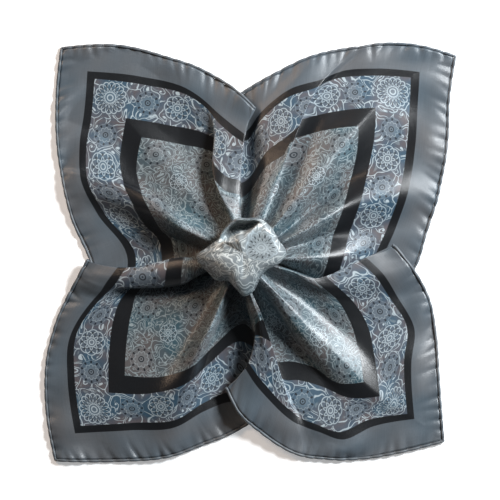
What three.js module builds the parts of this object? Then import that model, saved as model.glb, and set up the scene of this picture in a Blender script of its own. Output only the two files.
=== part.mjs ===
// Printed silk pocket square, laid out flat with its centre pulled up:
// four corner petals round a small raised bud, in one sheet with four rolled hems.
// Lengths are in millimetres, +Z is up, and the part lies on the plane z = 0.

import * as THREE from 'three';

// Driving dimensions
const CLOTH_SIDE = 330; // side of the square before it was folded
const SHEET_WALL = 1; // thickness that the soft sheet takes up
const HEM_DIAMETER = 3; // rolled and hand-sewn edge
const HEM_GAP = 0.3; // clearance between the sheet's edge and its hem
const FOLD_LIFT = 24; // height of the highest folds above the table
const NECK_RADIUS = 11.5; // gathered neck under the bud
const NECK_LIFT = 22; // height at which the highest folds meet in the neck
const GATHERED_RADIUS = 42; // flat radius of the cloth that is pulled up into the bud
const BUD_RADIUS = 30; // widest reach of the bud
const BUD_LIFT = 48; // full height that the lifts of the bud are measured against

// Places of the measured rings, as shares of the half side of the flat cloth
const HALF_SIDE = CLOTH_SIDE / 2;
const STRIPE_RING = 0.8525; // middle of the thin printed stripe
const FRAME_RING = 0.65; // middle of the wide printed frame
const NECK_CENTRE = { x: -0.031, y: -0.041 };
const NECK_SAG = 0.75; // height of a flat valley in the neck, as a share of NECK_LIFT

// Mesh fineness
const STEPS_PER_FOLD = 3; // columns from one fold row to the next
const RING_STEPS = [0, 0.5, 1, 1.5, 2, 2.5, 3, 3.5, 4]; // hem 0, stripe 1, frame 2, field 3, neck 4
const HEM_SIDES = 6;
const PROBE = 0.01; // short step for measuring a direction
const LEAST_STRETCH = 0.45; // steepest slant at the hem, as a share of the flat width

// One row for each crest, valley and tuck, clockwise from the top left corner.
// at*: place along the side, as a share of the side, at the hem, stripe and frame
// x, y: plan position there as shares of the half side, lift: share of FOLD_LIFT
// neck: direction in degrees in which the fold runs into the neck
const FOLD_COLUMNS = [
  'side', 'atHem', 'atStripe', 'atFrame',
  'hemX', 'hemY', 'hemLift',
  'stripeX', 'stripeY', 'stripeLift',
  'frameX', 'frameY', 'frameLift',
  'fieldLift', 'neck',
];
const FOLDS = [
  ['top', 0, 0, 0, -0.779, 0.831, 0.06, -0.658, 0.722, 0, -0.48, 0.503, 0, 0.28, 124],
  ['top', 0.13, 0.13, 0.13, -0.534, 0.84, 0.06, -0.439, 0.697, 0, -0.313, 0.474, 0.02, 0.28, 118],
  ['top', 0.24, 0.24, 0.24, -0.322, 0.786, 0.08, -0.256, 0.649, 0.12, -0.167, 0.439, 0.15, 0.32, 112],
  ['top', 0.285, 0.285, 0.285, -0.235, 0.757, 0.1, -0.194, 0.606, 0.19, -0.105, 0.404, 0.29, 0.48, 110],
  ['top', 0.335, 0.335, 0.335, -0.146, 0.713, 0.17, -0.134, 0.545, 0.33, -0.157, 0.34, 0.54, 0.83, 106],
  ['top', 0.39, 0.39, 0.39, -0.056, 0.652, 0.31, -0.066, 0.487, 0.44, -0.109, 0.272, 0.67, 0.92, 102],
  ['top', 0.435, 0.417, 0.452, 0.012, 0.584, 0.4, -0.025, 0.456, 0.5, -0.041, 0.247, 0.62, 0.79, 95],
  ['top', 0.449, 0.428, 0.458, 0.008, 0.579, 0.21, -0.029, 0.454, 0.33, -0.041, 0.243, 0.5, 0.67, 93],
  ['top', 0.482, 0.473, 0.47, -0.06, 0.619, 0.21, -0.087, 0.491, 0.27, -0.058, 0.235, 0.42, 0.5, 91],
  ['top', 0.494, 0.487, 0.48, -0.06, 0.627, 0.06, -0.087, 0.499, 0.08, -0.056, 0.235, 0.29, 0.42, 89],
  ['top', 0.53, 0.54, 0.5, -0.031, 0.649, 0.06, -0.019, 0.47, 0.08, -0.027, 0.247, 0.23, 0.29, 86],
  ['top', 0.6, 0.6, 0.6, 0.076, 0.711, 0.12, 0.047, 0.554, 0.29, 0.069, 0.374, 0.54, 0.75, 78],
  ['top', 0.68, 0.68, 0.68, 0.22, 0.784, 0.17, 0.151, 0.641, 0.33, 0.154, 0.433, 0.62, 0.83, 70],
  ['top', 0.79, 0.77, 0.735, 0.433, 0.833, 0.1, 0.295, 0.691, 0.29, 0.186, 0.482, 0.6, 0.8, 64],
  ['top', 0.8, 0.785, 0.765, 0.453, 0.835, 0.08, 0.311, 0.701, 0.21, 0.151, 0.487, 0.35, 0.5, 61],
  ['top', 0.82, 0.81, 0.79, 0.492, 0.843, 0.06, 0.353, 0.718, 0.1, 0.212, 0.503, 0.19, 0.3, 57],
  ['top', 0.89, 0.89, 0.89, 0.631, 0.849, 0.06, 0.491, 0.733, 0.08, 0.338, 0.533, 0.25, 0.52, 50],
  ['right', 0, 0, 0, 0.843, 0.798, 0.1, 0.678, 0.722, 0.12, 0.478, 0.548, 0.25, 0.84, 43],
  ['right', 0.09, 0.09, 0.09, 0.817, 0.623, 0.06, 0.671, 0.568, 0.1, 0.473, 0.432, 0.2, 0.6, 36],
  ['right', 0.17, 0.17, 0.17, 0.811, 0.463, 0.1, 0.662, 0.432, 0.1, 0.452, 0.33, 0.1, 0.14, 29],
  ['right', 0.29, 0.29, 0.29, 0.772, 0.226, 0.12, 0.628, 0.231, 0.3, 0.412, 0.179, 0.56, 0.88, 20],
  ['right', 0.38, 0.38, 0.38, 0.718, 0.056, 0.08, 0.579, 0.086, 0.12, 0.373, 0.07, 0.23, 0.34, 12],
  ['right', 0.435, 0.445, 0.46, 0.687, -0.049, 0.06, 0.534, -0.016, 0.12, 0.349, -0.033, 0.56, 0.85, 4],
  ['right', 0.48, 0.495, 0.525, 0.643, -0.128, 0.06, 0.505, -0.107, 0.08, 0.32, -0.128, 0.15, 0.25, -1],
  ['right', 0.492, 0.507, 0.537, 0.641, -0.128, 0.21, 0.503, -0.105, 0.23, 0.318, -0.128, 0.29, 0.38, -3],
  ['right', 0.563, 0.572, 0.582, 0.586, 0.014, 0.23, 0.458, -0.043, 0.33, 0.28, -0.115, 0.52, 0.71, -7],
  ['right', 0.576, 0.583, 0.595, 0.586, 0.021, 0.4, 0.458, -0.039, 0.5, 0.278, -0.115, 0.67, 0.83, -9],
  ['right', 0.62, 0.625, 0.63, 0.65, -0.056, 0.38, 0.518, -0.091, 0.5, 0.318, -0.15, 0.62, 0.75, -13],
  ['right', 0.7, 0.7, 0.7, 0.73, -0.193, 0.12, 0.588, -0.193, 0.21, 0.386, -0.209, 0.34, 0.56, -20],
  ['right', 0.785, 0.785, 0.785, 0.764, -0.359, 0.06, 0.66, -0.32, 0.1, 0.443, -0.303, 0.2, 0.34, -25],
  ['right', 0.87, 0.87, 0.87, 0.774, -0.528, 0.12, 0.647, -0.462, 0.17, 0.474, -0.408, 0.16, 0.22, -34],
  ['bottom', 0, 0, 0, 0.794, -0.788, 0.08, 0.66, -0.685, 0.1, 0.499, -0.575, 0.2, 0.82, -43],
  ['bottom', 0.1, 0.1, 0.1, 0.602, -0.835, 0.06, 0.492, -0.714, 0.12, 0.373, -0.576, 0.2, 0.64, -53],
  ['bottom', 0.18, 0.18, 0.18, 0.443, -0.861, 0.08, 0.369, -0.766, 0.17, 0.283, -0.522, 0.12, 0.22, -60],
  ['bottom', 0.22, 0.24, 0.26, 0.365, -0.862, 0.08, 0.274, -0.733, 0.17, 0.184, -0.495, 0.12, 0.12, -66],
  ['bottom', 0.26, 0.275, 0.319, 0.285, -0.856, 0.08, 0.218, -0.712, 0.15, 0.107, -0.487, 0.15, 0.1, -71],
  ['bottom', 0.275, 0.29, 0.36, 0.254, -0.854, 0.09, 0.195, -0.7, 0.18, 0.068, -0.421, 0.38, 0.45, -75],
  ['bottom', 0.29, 0.305, 0.4, 0.225, -0.849, 0.12, 0.174, -0.687, 0.25, 0.064, -0.322, 0.79, 0.96, -79],
  ['bottom', 0.4, 0.39, 0.42, 0.035, -0.743, 0.31, 0.07, -0.587, 0.46, 0.045, -0.318, 0.79, 0.96, -83],
  ['bottom', 0.46, 0.435, 0.43, -0.05, -0.662, 0.42, 0.021, -0.528, 0.54, 0.035, -0.318, 0.71, 0.92, -87],
  ['bottom', 0.51, 0.469, 0.436, -0.101, -0.567, 0.4, -0.016, -0.474, 0.52, 0.021, -0.326, 0.65, 0.79, -90],
  ['bottom', 0.522, 0.48, 0.446, -0.101, -0.571, 0.23, -0.016, -0.478, 0.35, 0.021, -0.33, 0.5, 0.67, -92],
  ['bottom', 0.555, 0.525, 0.47, -0.052, -0.643, 0.21, -0.002, -0.553, 0.27, 0.027, -0.355, 0.4, 0.46, -95],
  ['bottom', 0.583, 0.558, 0.5, -0.012, -0.707, 0.21, 0.023, -0.598, 0.21, 0.016, -0.363, 0.29, 0.38, -97],
  ['bottom', 0.594, 0.572, 0.51, -0.01, -0.713, 0.06, 0.014, -0.606, 0.06, 0.01, -0.359, 0.1, 0.12, -99],
  ['bottom', 0.63, 0.623, 0.545, -0.083, -0.756, 0.06, -0.093, -0.608, 0.02, -0.023, -0.336, 0.1, 0.1, -102],
  ['bottom', 0.68, 0.68, 0.68, -0.175, -0.793, 0.08, -0.188, -0.645, 0.12, -0.172, -0.439, 0.14, 0.22, -109],
  ['bottom', 0.76, 0.76, 0.76, -0.325, -0.847, 0.12, -0.307, -0.713, 0.25, -0.248, -0.509, 0.62, 0.95, -121],
  ['bottom', 0.87, 0.87, 0.87, -0.544, -0.868, 0.06, -0.49, -0.727, 0.12, -0.381, -0.555, 0.3, 0.38, -131],
  ['left', 0, 0, 0, -0.804, -0.866, 0.08, -0.711, -0.74, 0.08, -0.551, -0.551, 0.17, 0.24, -140],
  ['left', 0.13, 0.13, 0.13, -0.843, -0.611, 0.08, -0.74, -0.52, 0.1, -0.544, -0.383, 0.14, 0.24, -149],
  ['left', 0.22, 0.22, 0.22, -0.834, -0.43, 0.06, -0.735, -0.367, 0.12, -0.525, -0.268, 0.12, 0.18, -156],
  ['left', 0.36, 0.335, 0.296, -0.74, -0.168, 0.12, -0.633, -0.204, 0.19, -0.493, -0.18, 0.1, 0.08, -163],
  ['left', 0.385, 0.36, 0.35, -0.715, -0.124, 0.21, -0.603, -0.173, 0.31, -0.42, -0.12, 0.14, 0.12, -167],
  ['left', 0.4, 0.385, 0.41, -0.702, -0.098, 0.27, -0.577, -0.14, 0.42, -0.318, -0.15, 0.58, 0.75, -168.5],
  ['left', 0.418, 0.41, 0.45, -0.687, -0.07, 0.31, -0.553, -0.107, 0.48, -0.31, -0.09, 0.88, 1, -172],
  ['left', 0.43, 0.43, 0.491, -0.672, -0.045, 0.31, -0.528, -0.074, 0.48, -0.299, -0.033, 0.75, 0.92, -178],
  ['left', 0.442, 0.441, 0.5, -0.666, -0.047, 0.19, -0.524, -0.076, 0.33, -0.299, -0.035, 0.62, 0.79, 179],
  ['left', 0.484, 0.465, 0.545, -0.627, -0.14, 0.2, -0.507, -0.126, 0.23, -0.33, -0.049, 0.31, 0.46, 177],
  ['left', 0.496, 0.475, 0.555, -0.629, -0.138, 0.06, -0.503, -0.128, 0.07, -0.334, -0.049, 0.19, 0.33, 175],
  ['left', 0.556, 0.505, 0.6, -0.662, -0.035, 0.06, -0.489, -0.066, 0.06, -0.348, 0.033, 0.08, 0.1, 170],
  ['left', 0.65, 0.655, 0.665, -0.738, 0.139, 0.12, -0.618, 0.153, 0.12, -0.402, 0.096, 0.25, 0.4, 158],
  ['left', 0.7, 0.71, 0.74, -0.762, 0.235, 0.16, -0.665, 0.235, 0.27, -0.446, 0.178, 0.6, 0.92, 151],
  ['left', 0.74, 0.765, 0.805, -0.778, 0.315, 0.15, -0.688, 0.305, 0.24, -0.482, 0.25, 0.48, 0.86, 143],
  ['left', 0.755, 0.78, 0.818, -0.783, 0.345, 0.12, -0.691, 0.33, 0.14, -0.486, 0.264, 0.17, 0.45, 140],
  ['left', 0.82, 0.83, 0.87, -0.797, 0.472, 0.1, -0.69, 0.435, 0.1, -0.503, 0.338, 0.06, 0.32, 135],
  ['left', 0.9, 0.9, 0.93, -0.798, 0.631, 0.06, -0.672, 0.551, 0, -0.498, 0.414, 0.02, 0.28, 130],
];

// The bud by direction in degrees, counted from +X towards +Y.
// rim: its widest outline, hollow: the dip behind the front lip, lip: the top edge.
// Reaches are shares of BUD_RADIUS and lifts are shares of BUD_LIFT.
const BUD_COLUMNS = ['direction', 'rim', 'rimLift', 'hollow', 'hollowLift', 'lip', 'lipLift'];
const BUD = [
  [25, 0.80, 0.80, 0.70, 0.86, 0.40, 0.86],
  [48, 0.79, 0.85, 0.70, 0.90, 0.42, 0.88],
  [63, 0.81, 0.88, 0.77, 0.84, 0.70, 0.92],
  [76, 0.80, 0.87, 0.66, 0.70, 0.48, 0.94],
  [101, 0.76, 0.86, 0.58, 0.66, 0.37, 0.94],
  [117, 0.69, 0.84, 0.55, 0.66, 0.40, 0.92],
  [134, 0.69, 0.80, 0.55, 0.70, 0.45, 0.89],
  [152, 0.62, 0.76, 0.54, 0.80, 0.44, 0.86],
  [173, 0.76, 0.71, 0.60, 0.80, 0.38, 0.84],
  [184, 0.98, 0.67, 0.80, 0.75, 0.44, 0.82],
  [199, 0.86, 0.62, 0.64, 0.77, 0.38, 0.83],
  [212, 0.78, 0.61, 0.54, 0.80, 0.28, 0.84],
  [240, 0.68, 0.61, 0.56, 0.74, 0.33, 0.82],
  [265, 0.87, 0.62, 0.78, 0.67, 0.42, 0.78],
  [274, 0.92, 0.61, 0.80, 0.66, 0.42, 0.77],
  [285, 0.82, 0.62, 0.68, 0.68, 0.40, 0.78],
  [312, 0.61, 0.65, 0.52, 0.75, 0.30, 0.82],
  [334, 0.68, 0.69, 0.58, 0.79, 0.34, 0.84],
  [357, 0.93, 0.73, 0.81, 0.81, 0.42, 0.85],
];
const BUD_CENTRE = { x: -0.031, y: -0.012, lift: 0.85 };
const THROAT = { reach: 0.8, lift: 0.5 }; // share of NECK_RADIUS, share of the way to the underside
const UNDERSIDE = { reach: 0.93, lift: 0.5 }; // share of the rim's reach, share of the way up to it
const UNDER_HOLLOW = 0.88; // highest that the underside may be, as a share of the hollow's lift
const CROWN_REACH = 0.5; // ring between the lip and the centre, as a share of the lip

const SIDES = ['top', 'right', 'bottom', 'left']; // sides of the flat cloth, clockwise

function namedRows(columns, rows) {
  return rows.map((row) => Object.fromEntries(columns.map((name, i) => [name, row[i]])));
}

// Cubic curve through values at uneven knots. A level curve has no overshoot.
function curveThrough(knots, values, level) {
  const count = knots.length;
  const steps = knots.slice(1).map((knot, i) => knot - knots[i]);
  const rises = steps.map((step, i) => (values[i + 1] - values[i]) / step);
  const slopes = values.map((value, i) => {
    if (i === 0 || i === count - 1) return 0;
    const [before, after] = [rises[i - 1], rises[i]];
    if (!level) return (steps[i] * before + steps[i - 1] * after) / (steps[i] + steps[i - 1]);
    return before * after > 0 ? (2 * before * after) / (before + after) : 0;
  });
  const endSlope = (rise, inner) => {
    const slope = (3 * rise - inner) / 2;
    return level && slope * rise < 0 ? 0 : slope;
  };
  slopes[0] = endSlope(rises[0], slopes[1]);
  slopes[count - 1] = endSlope(rises[count - 2], slopes[count - 2]);
  return (place) => {
    let i = 0;
    while (i < count - 2 && place > knots[i + 1]) i += 1;
    const step = steps[i];
    const t = (place - knots[i]) / step;
    const rest = 1 - t;
    return values[i] * (1 + 2 * t) * rest * rest + step * slopes[i] * t * rest * rest
      + values[i + 1] * t * t * (3 - 2 * t) - step * slopes[i + 1] * t * t * rest;
  };
}

// Fold rows of one side, closed by the next side's corner row, as curves along the side
function sideCurves(side, next, folds) {
  const corner = folds.find((fold) => fold.side === next);
  const closing = { ...corner, atHem: 1, atStripe: 1, atFrame: 1 };
  const rows = [...folds.filter((fold) => fold.side === side), closing];
  const order = rows.map((row, i) => i);
  const turns = rows.map((row) => row.neck);
  for (let i = 1; i < turns.length; i += 1) {
    turns[i] -= 360 * Math.round((turns[i] - turns[i - 1]) / 360);
  }
  const column = (name) => rows.map((row) => row[name]);
  const along = (ring) => curveThrough(order, column(`at${ring}`), true);
  const place = { Hem: along('Hem'), Stripe: along('Stripe'), Frame: along('Frame') };
  const station = (ring) => {
    const knots = column(`at${ring}`);
    const key = ring.toLowerCase();
    const x = curveThrough(knots, column(`${key}X`), false);
    const y = curveThrough(knots, column(`${key}Y`), false);
    const lift = curveThrough(knots, column(`${key}Lift`), true);
    return (index) => {
      const at = place[ring](index);
      return new THREE.Vector3(x(at) * HALF_SIDE, y(at) * HALF_SIDE, lift(at) * FOLD_LIFT);
    };
  };
  const fieldLift = curveThrough(column('atFrame'), column('fieldLift'), true);
  return {
    folds: rows.length - 1,
    stations: [station('Hem'), station('Stripe'), station('Frame')],
    fieldLift: (index) => fieldLift(place.Frame(index)),
    neckTurn: curveThrough(order, turns, true),
  };
}

// One radial line of the sheet, from the hem to the neck
function radialLine(curves, index) {
  const [hem, stripe, frame] = curves.stations.map((station) => station(index));
  const turn = THREE.MathUtils.degToRad(curves.neckTurn(index));
  const fieldLift = curves.fieldLift(index);
  const neck = new THREE.Vector3(
    NECK_CENTRE.x * HALF_SIDE + NECK_RADIUS * Math.cos(turn),
    NECK_CENTRE.y * HALF_SIDE + NECK_RADIUS * Math.sin(turn),
    NECK_LIFT * THREE.MathUtils.lerp(NECK_SAG, 1, fieldLift),
  );
  const field = frame.clone().add(neck).multiplyScalar(0.5);
  field.z = fieldLift * FOLD_LIFT;
  const points = [hem, stripe, frame, field, neck];
  const neckRing = GATHERED_RADIUS / HALF_SIDE;
  const knots = [0, 1 - STRIPE_RING, 1 - FRAME_RING, 1 - (FRAME_RING + neckRing) / 2, 1 - neckRing];
  const axis = (name, level) => curveThrough(knots, points.map((point) => point[name]), level);
  const [x, y, lift] = [axis('x', false), axis('y', false), axis('z', true)];
  const start = curves.stations[0](index - PROBE);
  const along = curves.stations[0](index + PROBE).sub(start).normalize();
  const inward = new THREE.Vector3(x(PROBE), y(PROBE), lift(PROBE)).sub(hem);
  const stretch = inward.cross(along).length() / PROBE;
  const edge = (HEM_DIAMETER / 2 + HEM_GAP) / Math.max(stretch, HALF_SIDE * LEAST_STRETCH);
  const rings = RING_STEPS.map((step) => {
    const low = Math.min(Math.floor(step), knots.length - 2);
    const share = knots[low] + (knots[low + 1] - knots[low]) * (step - low);
    const at = Math.max(share, edge);
    return new THREE.Vector3(x(at), y(at), Math.max(lift(at), SHEET_WALL / 2));
  });
  hem.z = Math.max(hem.z, HEM_DIAMETER / 2);
  return { hem, rings, turn };
}

// Closed curve of one bud measure round all directions
function roundTheBud(rows, name) {
  const turns = [-360, 0, 360];
  const knots = turns.flatMap((turn) => rows.map((row) => row.direction + turn));
  const values = turns.flatMap(() => rows.map((row) => row[name]));
  const curve = curveThrough(knots, values, name.endsWith('Lift'));
  return (degrees) => curve(THREE.MathUtils.euclideanModulo(degrees, 360));
}

// One line of the bud, from its throat over the rim to the crown
function budLine(measures, { turn, rings }) {
  const neckLift = rings[rings.length - 1].z;
  const degrees = THREE.MathUtils.radToDeg(turn);
  const outward = (centre, reach, lift) => new THREE.Vector3(
    centre.x * HALF_SIDE + reach * Math.cos(turn),
    centre.y * HALF_SIDE + reach * Math.sin(turn),
    lift,
  );
  const onBud = (name) => outward(
    BUD_CENTRE,
    measures[name](degrees) * BUD_RADIUS,
    measures[`${name}Lift`](degrees) * BUD_LIFT,
  );
  const rim = onBud('rim');
  const lip = onBud('lip');
  const hollow = onBud('hollow');
  const climb = THREE.MathUtils.lerp(NECK_LIFT, rim.z, UNDERSIDE.lift);
  const underLift = Math.min(climb, UNDER_HOLLOW * hollow.z);
  const throatLift = THREE.MathUtils.lerp(neckLift, underLift, THROAT.lift);
  const rimReach = measures.rim(degrees) * BUD_RADIUS;
  const crownLift = THREE.MathUtils.lerp(BUD_CENTRE.lift * BUD_LIFT, lip.z, CROWN_REACH);
  const crownReach = measures.lip(degrees) * BUD_RADIUS * CROWN_REACH;
  return [
    outward(NECK_CENTRE, THROAT.reach * NECK_RADIUS, throatLift),
    outward(BUD_CENTRE, UNDERSIDE.reach * rimReach, underLift),
    rim,
    hollow,
    lip,
    outward(BUD_CENTRE, crownReach, crownLift),
  ];
}

// Joins two rings with triangles that face up, or outwards where the cloth stands
function joinRings(outer, inner, faces) {
  const ratio = outer.length / inner.length;
  inner.forEach((near, j) => {
    const nextNear = inner[(j + 1) % inner.length];
    const turnAt = Math.floor(ratio / 2);
    for (let k = 0; k < ratio; k += 1) {
      const a = outer[j * ratio + k];
      const b = outer[(j * ratio + k + 1) % outer.length];
      if (k === turnAt) faces.push([a, near, nextNear]);
      faces.push([a, k < turnAt ? near : nextNear, b]);
    }
  });
}

// Gives an open surface a wall of even thickness, with nothing below the table
function thicken(points, faces, rim, wall) {
  const normals = points.map(() => new THREE.Vector3());
  faces.forEach(([a, b, c]) => {
    const ab = points[b].clone().sub(points[a]);
    const normal = points[c].clone().sub(points[a]);
    normal.crossVectors(ab, normal);
    [a, b, c].forEach((i) => normals[i].add(normal));
  });
  const count = points.length;
  const positions = new Float32Array(count * 6);
  points.forEach((point, i) => {
    normals[i].setLength(wall / 2);
    [point.clone().add(normals[i]), point.clone().sub(normals[i])].forEach((corner, layer) => {
      corner.z = Math.max(corner.z, 0);
      corner.toArray(positions, (i + layer * count) * 3);
    });
  });
  const index = [];
  faces.forEach(([a, b, c]) => index.push(a, b, c, a + count, c + count, b + count));
  rim.forEach((a, i) => {
    const b = rim[(i + 1) % rim.length];
    index.push(a, b, b + count, a, b + count, a + count);
  });
  return closedGeometry(positions, index);
}

function closedGeometry(positions, index) {
  const geometry = new THREE.BufferGeometry();
  geometry.setAttribute('position', new THREE.BufferAttribute(positions, 3));
  geometry.setIndex(index);
  geometry.computeVertexNormals();
  return geometry;
}

// The whole cloth: petals, neck and bud in one sheet
function sheetGeometry(lines, measures) {
  const points = [];
  const ringOf = (corners) => corners.map((corner) => points.push(corner) - 1);
  const rings = RING_STEPS.map((step, r) => ringOf(lines.map((line) => line.rings[r])));
  const budLines = lines
    .filter((line, i) => i % STEPS_PER_FOLD === 0)
    .map((line) => budLine(measures, line));
  budLines[0].forEach((corner, r) => rings.push(ringOf(budLines.map((line) => line[r]))));
  const crown = new THREE.Vector3(BUD_CENTRE.x, BUD_CENTRE.y, 0).multiplyScalar(HALF_SIDE);
  crown.z = BUD_CENTRE.lift * BUD_LIFT;
  const top = points.push(crown) - 1;
  const faces = [];
  rings.slice(1).forEach((ring, r) => joinRings(rings[r], ring, faces));
  const last = rings[rings.length - 1];
  last.forEach((near, j) => faces.push([near, top, last[(j + 1) % last.length]]));
  return thicken(points, faces, rings[0], SHEET_WALL);
}

// A rolled hem along one side, from just past its first corner to the next corner
function hemGeometry(path) {
  const radius = HEM_DIAMETER / 2;
  const tangentAt = (i) => path[Math.min(i + 1, path.length - 1)].clone()
    .sub(path[Math.max(i - 1, 0)]).normalize();
  const centres = path.map((point) => point.clone());
  centres[0].addScaledVector(tangentAt(0), radius + HEM_GAP);
  centres[path.length - 1].addScaledVector(tangentAt(path.length - 1), radius);
  const up = new THREE.Vector3(0, 0, 1);
  const positions = [];
  centres.forEach((centre, i) => {
    const across = new THREE.Vector3().crossVectors(up, tangentAt(i)).normalize();
    const rise = new THREE.Vector3().crossVectors(tangentAt(i), across);
    for (let k = 0; k < HEM_SIDES; k += 1) {
      const turn = (k / HEM_SIDES) * Math.PI * 2 - Math.PI / 2;
      const corner = centre.clone()
        .addScaledVector(across, radius * Math.cos(turn))
        .addScaledVector(rise, radius * Math.sin(turn));
      positions.push(corner.x, corner.y, Math.max(corner.z, 0));
    }
  });
  const index = [];
  for (let i = 0; i < path.length - 1; i += 1) {
    for (let k = 0; k < HEM_SIDES; k += 1) {
      const a = i * HEM_SIDES + k;
      const b = i * HEM_SIDES + ((k + 1) % HEM_SIDES);
      index.push(a, b, b + HEM_SIDES, a, b + HEM_SIDES, a + HEM_SIDES);
    }
  }
  const end = (path.length - 1) * HEM_SIDES;
  for (let k = 1; k < HEM_SIDES - 1; k += 1) {
    index.push(0, k + 1, k, end, end + k, end + k + 1);
  }
  return closedGeometry(new Float32Array(positions), index);
}

const silk = () => new THREE.MeshStandardMaterial({ color: 0x6e7d88, roughness: 0.45, metalness: 0 });
const hemSilk = () => new THREE.MeshStandardMaterial({ color: 0x5a5c60, roughness: 0.5, metalness: 0 });

function pocketSquare() {
  const folds = namedRows(FOLD_COLUMNS, FOLDS);
  const budRows = namedRows(BUD_COLUMNS, BUD);
  const measures = Object.fromEntries(
    BUD_COLUMNS.slice(1).map((name) => [name, roundTheBud(budRows, name)]),
  );
  const lines = [];
  const hems = SIDES.map((side, i) => {
    const curves = sideCurves(side, SIDES[(i + 1) % SIDES.length], folds);
    const steps = curves.folds * STEPS_PER_FOLD;
    const sideLines = Array.from(
      { length: steps + 1 },
      (unused, k) => radialLine(curves, k / STEPS_PER_FOLD),
    );
    lines.push(...sideLines.slice(0, steps));
    return new THREE.Mesh(hemGeometry(sideLines.map((line) => line.hem)), hemSilk());
  });
  hems.forEach((hem, i) => { hem.name = `hem_${SIDES[i]}`; });
  const sheet = new THREE.Mesh(sheetGeometry(lines, measures), silk());
  sheet.name = 'silk_sheet';

  const square = new THREE.Group();
  square.name = 'pocket_square';
  square.add(sheet, ...hems);
  const bounds = new THREE.Box3().setFromObject(square);
  const middle = bounds.getCenter(new THREE.Vector3());
  square.position.set(-middle.x, -middle.y, -bounds.min.z);
  return square;
}

export default pocketSquare();
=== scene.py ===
# Printed silk pocket square, laid out in petals round a raised bud: the dressed model.
# The sheet, its rolled hems and the hem stitches follow the same fold rows as the solids.
# Lengths are in metres, unless a name says mm.

import math

import bpy
import numpy as np
from bpy.props import FloatProperty, FloatVectorProperty, IntProperty, PointerProperty
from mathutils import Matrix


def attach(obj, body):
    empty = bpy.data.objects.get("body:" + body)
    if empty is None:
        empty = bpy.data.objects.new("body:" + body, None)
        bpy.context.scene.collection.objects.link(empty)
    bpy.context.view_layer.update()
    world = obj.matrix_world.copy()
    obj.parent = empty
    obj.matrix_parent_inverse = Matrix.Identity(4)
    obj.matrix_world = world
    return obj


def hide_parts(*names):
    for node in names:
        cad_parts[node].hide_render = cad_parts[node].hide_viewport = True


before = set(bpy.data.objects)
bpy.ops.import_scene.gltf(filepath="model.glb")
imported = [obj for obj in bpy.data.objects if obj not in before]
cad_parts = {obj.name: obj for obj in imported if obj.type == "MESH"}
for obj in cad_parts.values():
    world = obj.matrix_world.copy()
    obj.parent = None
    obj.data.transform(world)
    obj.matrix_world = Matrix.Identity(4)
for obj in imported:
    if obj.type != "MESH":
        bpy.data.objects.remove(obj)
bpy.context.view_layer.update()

bl_info = {
    "name": "Pocket Square",
    "version": (1, 0, 0),
    "blender": (4, 5, 0),
    "location": "View3D > Sidebar > Pocket Square",
    "description": "Builds a printed silk pocket square, laid out in petals round a raised bud",
    "category": "Add Mesh",
}

MM = 0.001
BODY = "root"
SHIFT_MM = (-0.2155, 1.62)  # puts the folded cloth where the solids are
FLAT_MAP = "flat_cloth"  # UV map that holds each point's place on the flat square

# One row for each crest, valley and tuck, clockwise from the top left corner: the place along
# the side at the hem, stripe and frame, then plan x, plan y and lift at the hem, stripe and
# frame, the lift in the field, and the neck's direction in degrees.
# Plan places are shares of the half side, lifts are shares of the fold lift.
TOP_FOLDS = (
    (0, 0, 0, -0.779, 0.831, 0.06, -0.658, 0.722, 0, -0.48, 0.503, 0, 0.28, 124),
    (0.13, 0.13, 0.13, -0.534, 0.84, 0.06, -0.439, 0.697, 0, -0.313, 0.474, 0.02, 0.28, 118),
    (0.24, 0.24, 0.24, -0.322, 0.786, 0.08, -0.256, 0.649, 0.12, -0.167, 0.439, 0.15, 0.32, 112),
    (0.285, 0.285, 0.285, -0.235, 0.757, 0.1, -0.194, 0.606, 0.19, -0.105, 0.404, 0.29, 0.48, 110),
    (0.335, 0.335, 0.335, -0.146, 0.713, 0.17, -0.134, 0.545, 0.33, -0.157, 0.34, 0.54, 0.83, 106),
    (0.39, 0.39, 0.39, -0.056, 0.652, 0.31, -0.066, 0.487, 0.44, -0.109, 0.272, 0.67, 0.92, 102),
    (0.435, 0.417, 0.452, 0.012, 0.584, 0.4, -0.025, 0.456, 0.5, -0.041, 0.247, 0.62, 0.79, 95),
    (0.449, 0.428, 0.458, 0.008, 0.579, 0.21, -0.029, 0.454, 0.33, -0.041, 0.243, 0.5, 0.67, 93),
    (0.482, 0.473, 0.47, -0.06, 0.619, 0.21, -0.087, 0.491, 0.27, -0.058, 0.235, 0.42, 0.5, 91),
    (0.494, 0.487, 0.48, -0.06, 0.627, 0.06, -0.087, 0.499, 0.08, -0.056, 0.235, 0.29, 0.42, 89),
    (0.53, 0.54, 0.5, -0.031, 0.649, 0.06, -0.019, 0.47, 0.08, -0.027, 0.247, 0.23, 0.29, 86),
    (0.6, 0.6, 0.6, 0.076, 0.711, 0.12, 0.047, 0.554, 0.29, 0.069, 0.374, 0.54, 0.75, 78),
    (0.68, 0.68, 0.68, 0.22, 0.784, 0.17, 0.151, 0.641, 0.33, 0.154, 0.433, 0.62, 0.83, 70),
    (0.79, 0.77, 0.735, 0.433, 0.833, 0.1, 0.295, 0.691, 0.29, 0.186, 0.482, 0.6, 0.8, 64),
    (0.8, 0.785, 0.765, 0.453, 0.835, 0.08, 0.311, 0.701, 0.21, 0.151, 0.487, 0.35, 0.5, 61),
    (0.82, 0.81, 0.79, 0.492, 0.843, 0.06, 0.353, 0.718, 0.1, 0.212, 0.503, 0.19, 0.3, 57),
    (0.89, 0.89, 0.89, 0.631, 0.849, 0.06, 0.491, 0.733, 0.08, 0.338, 0.533, 0.25, 0.52, 50),
)
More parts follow.
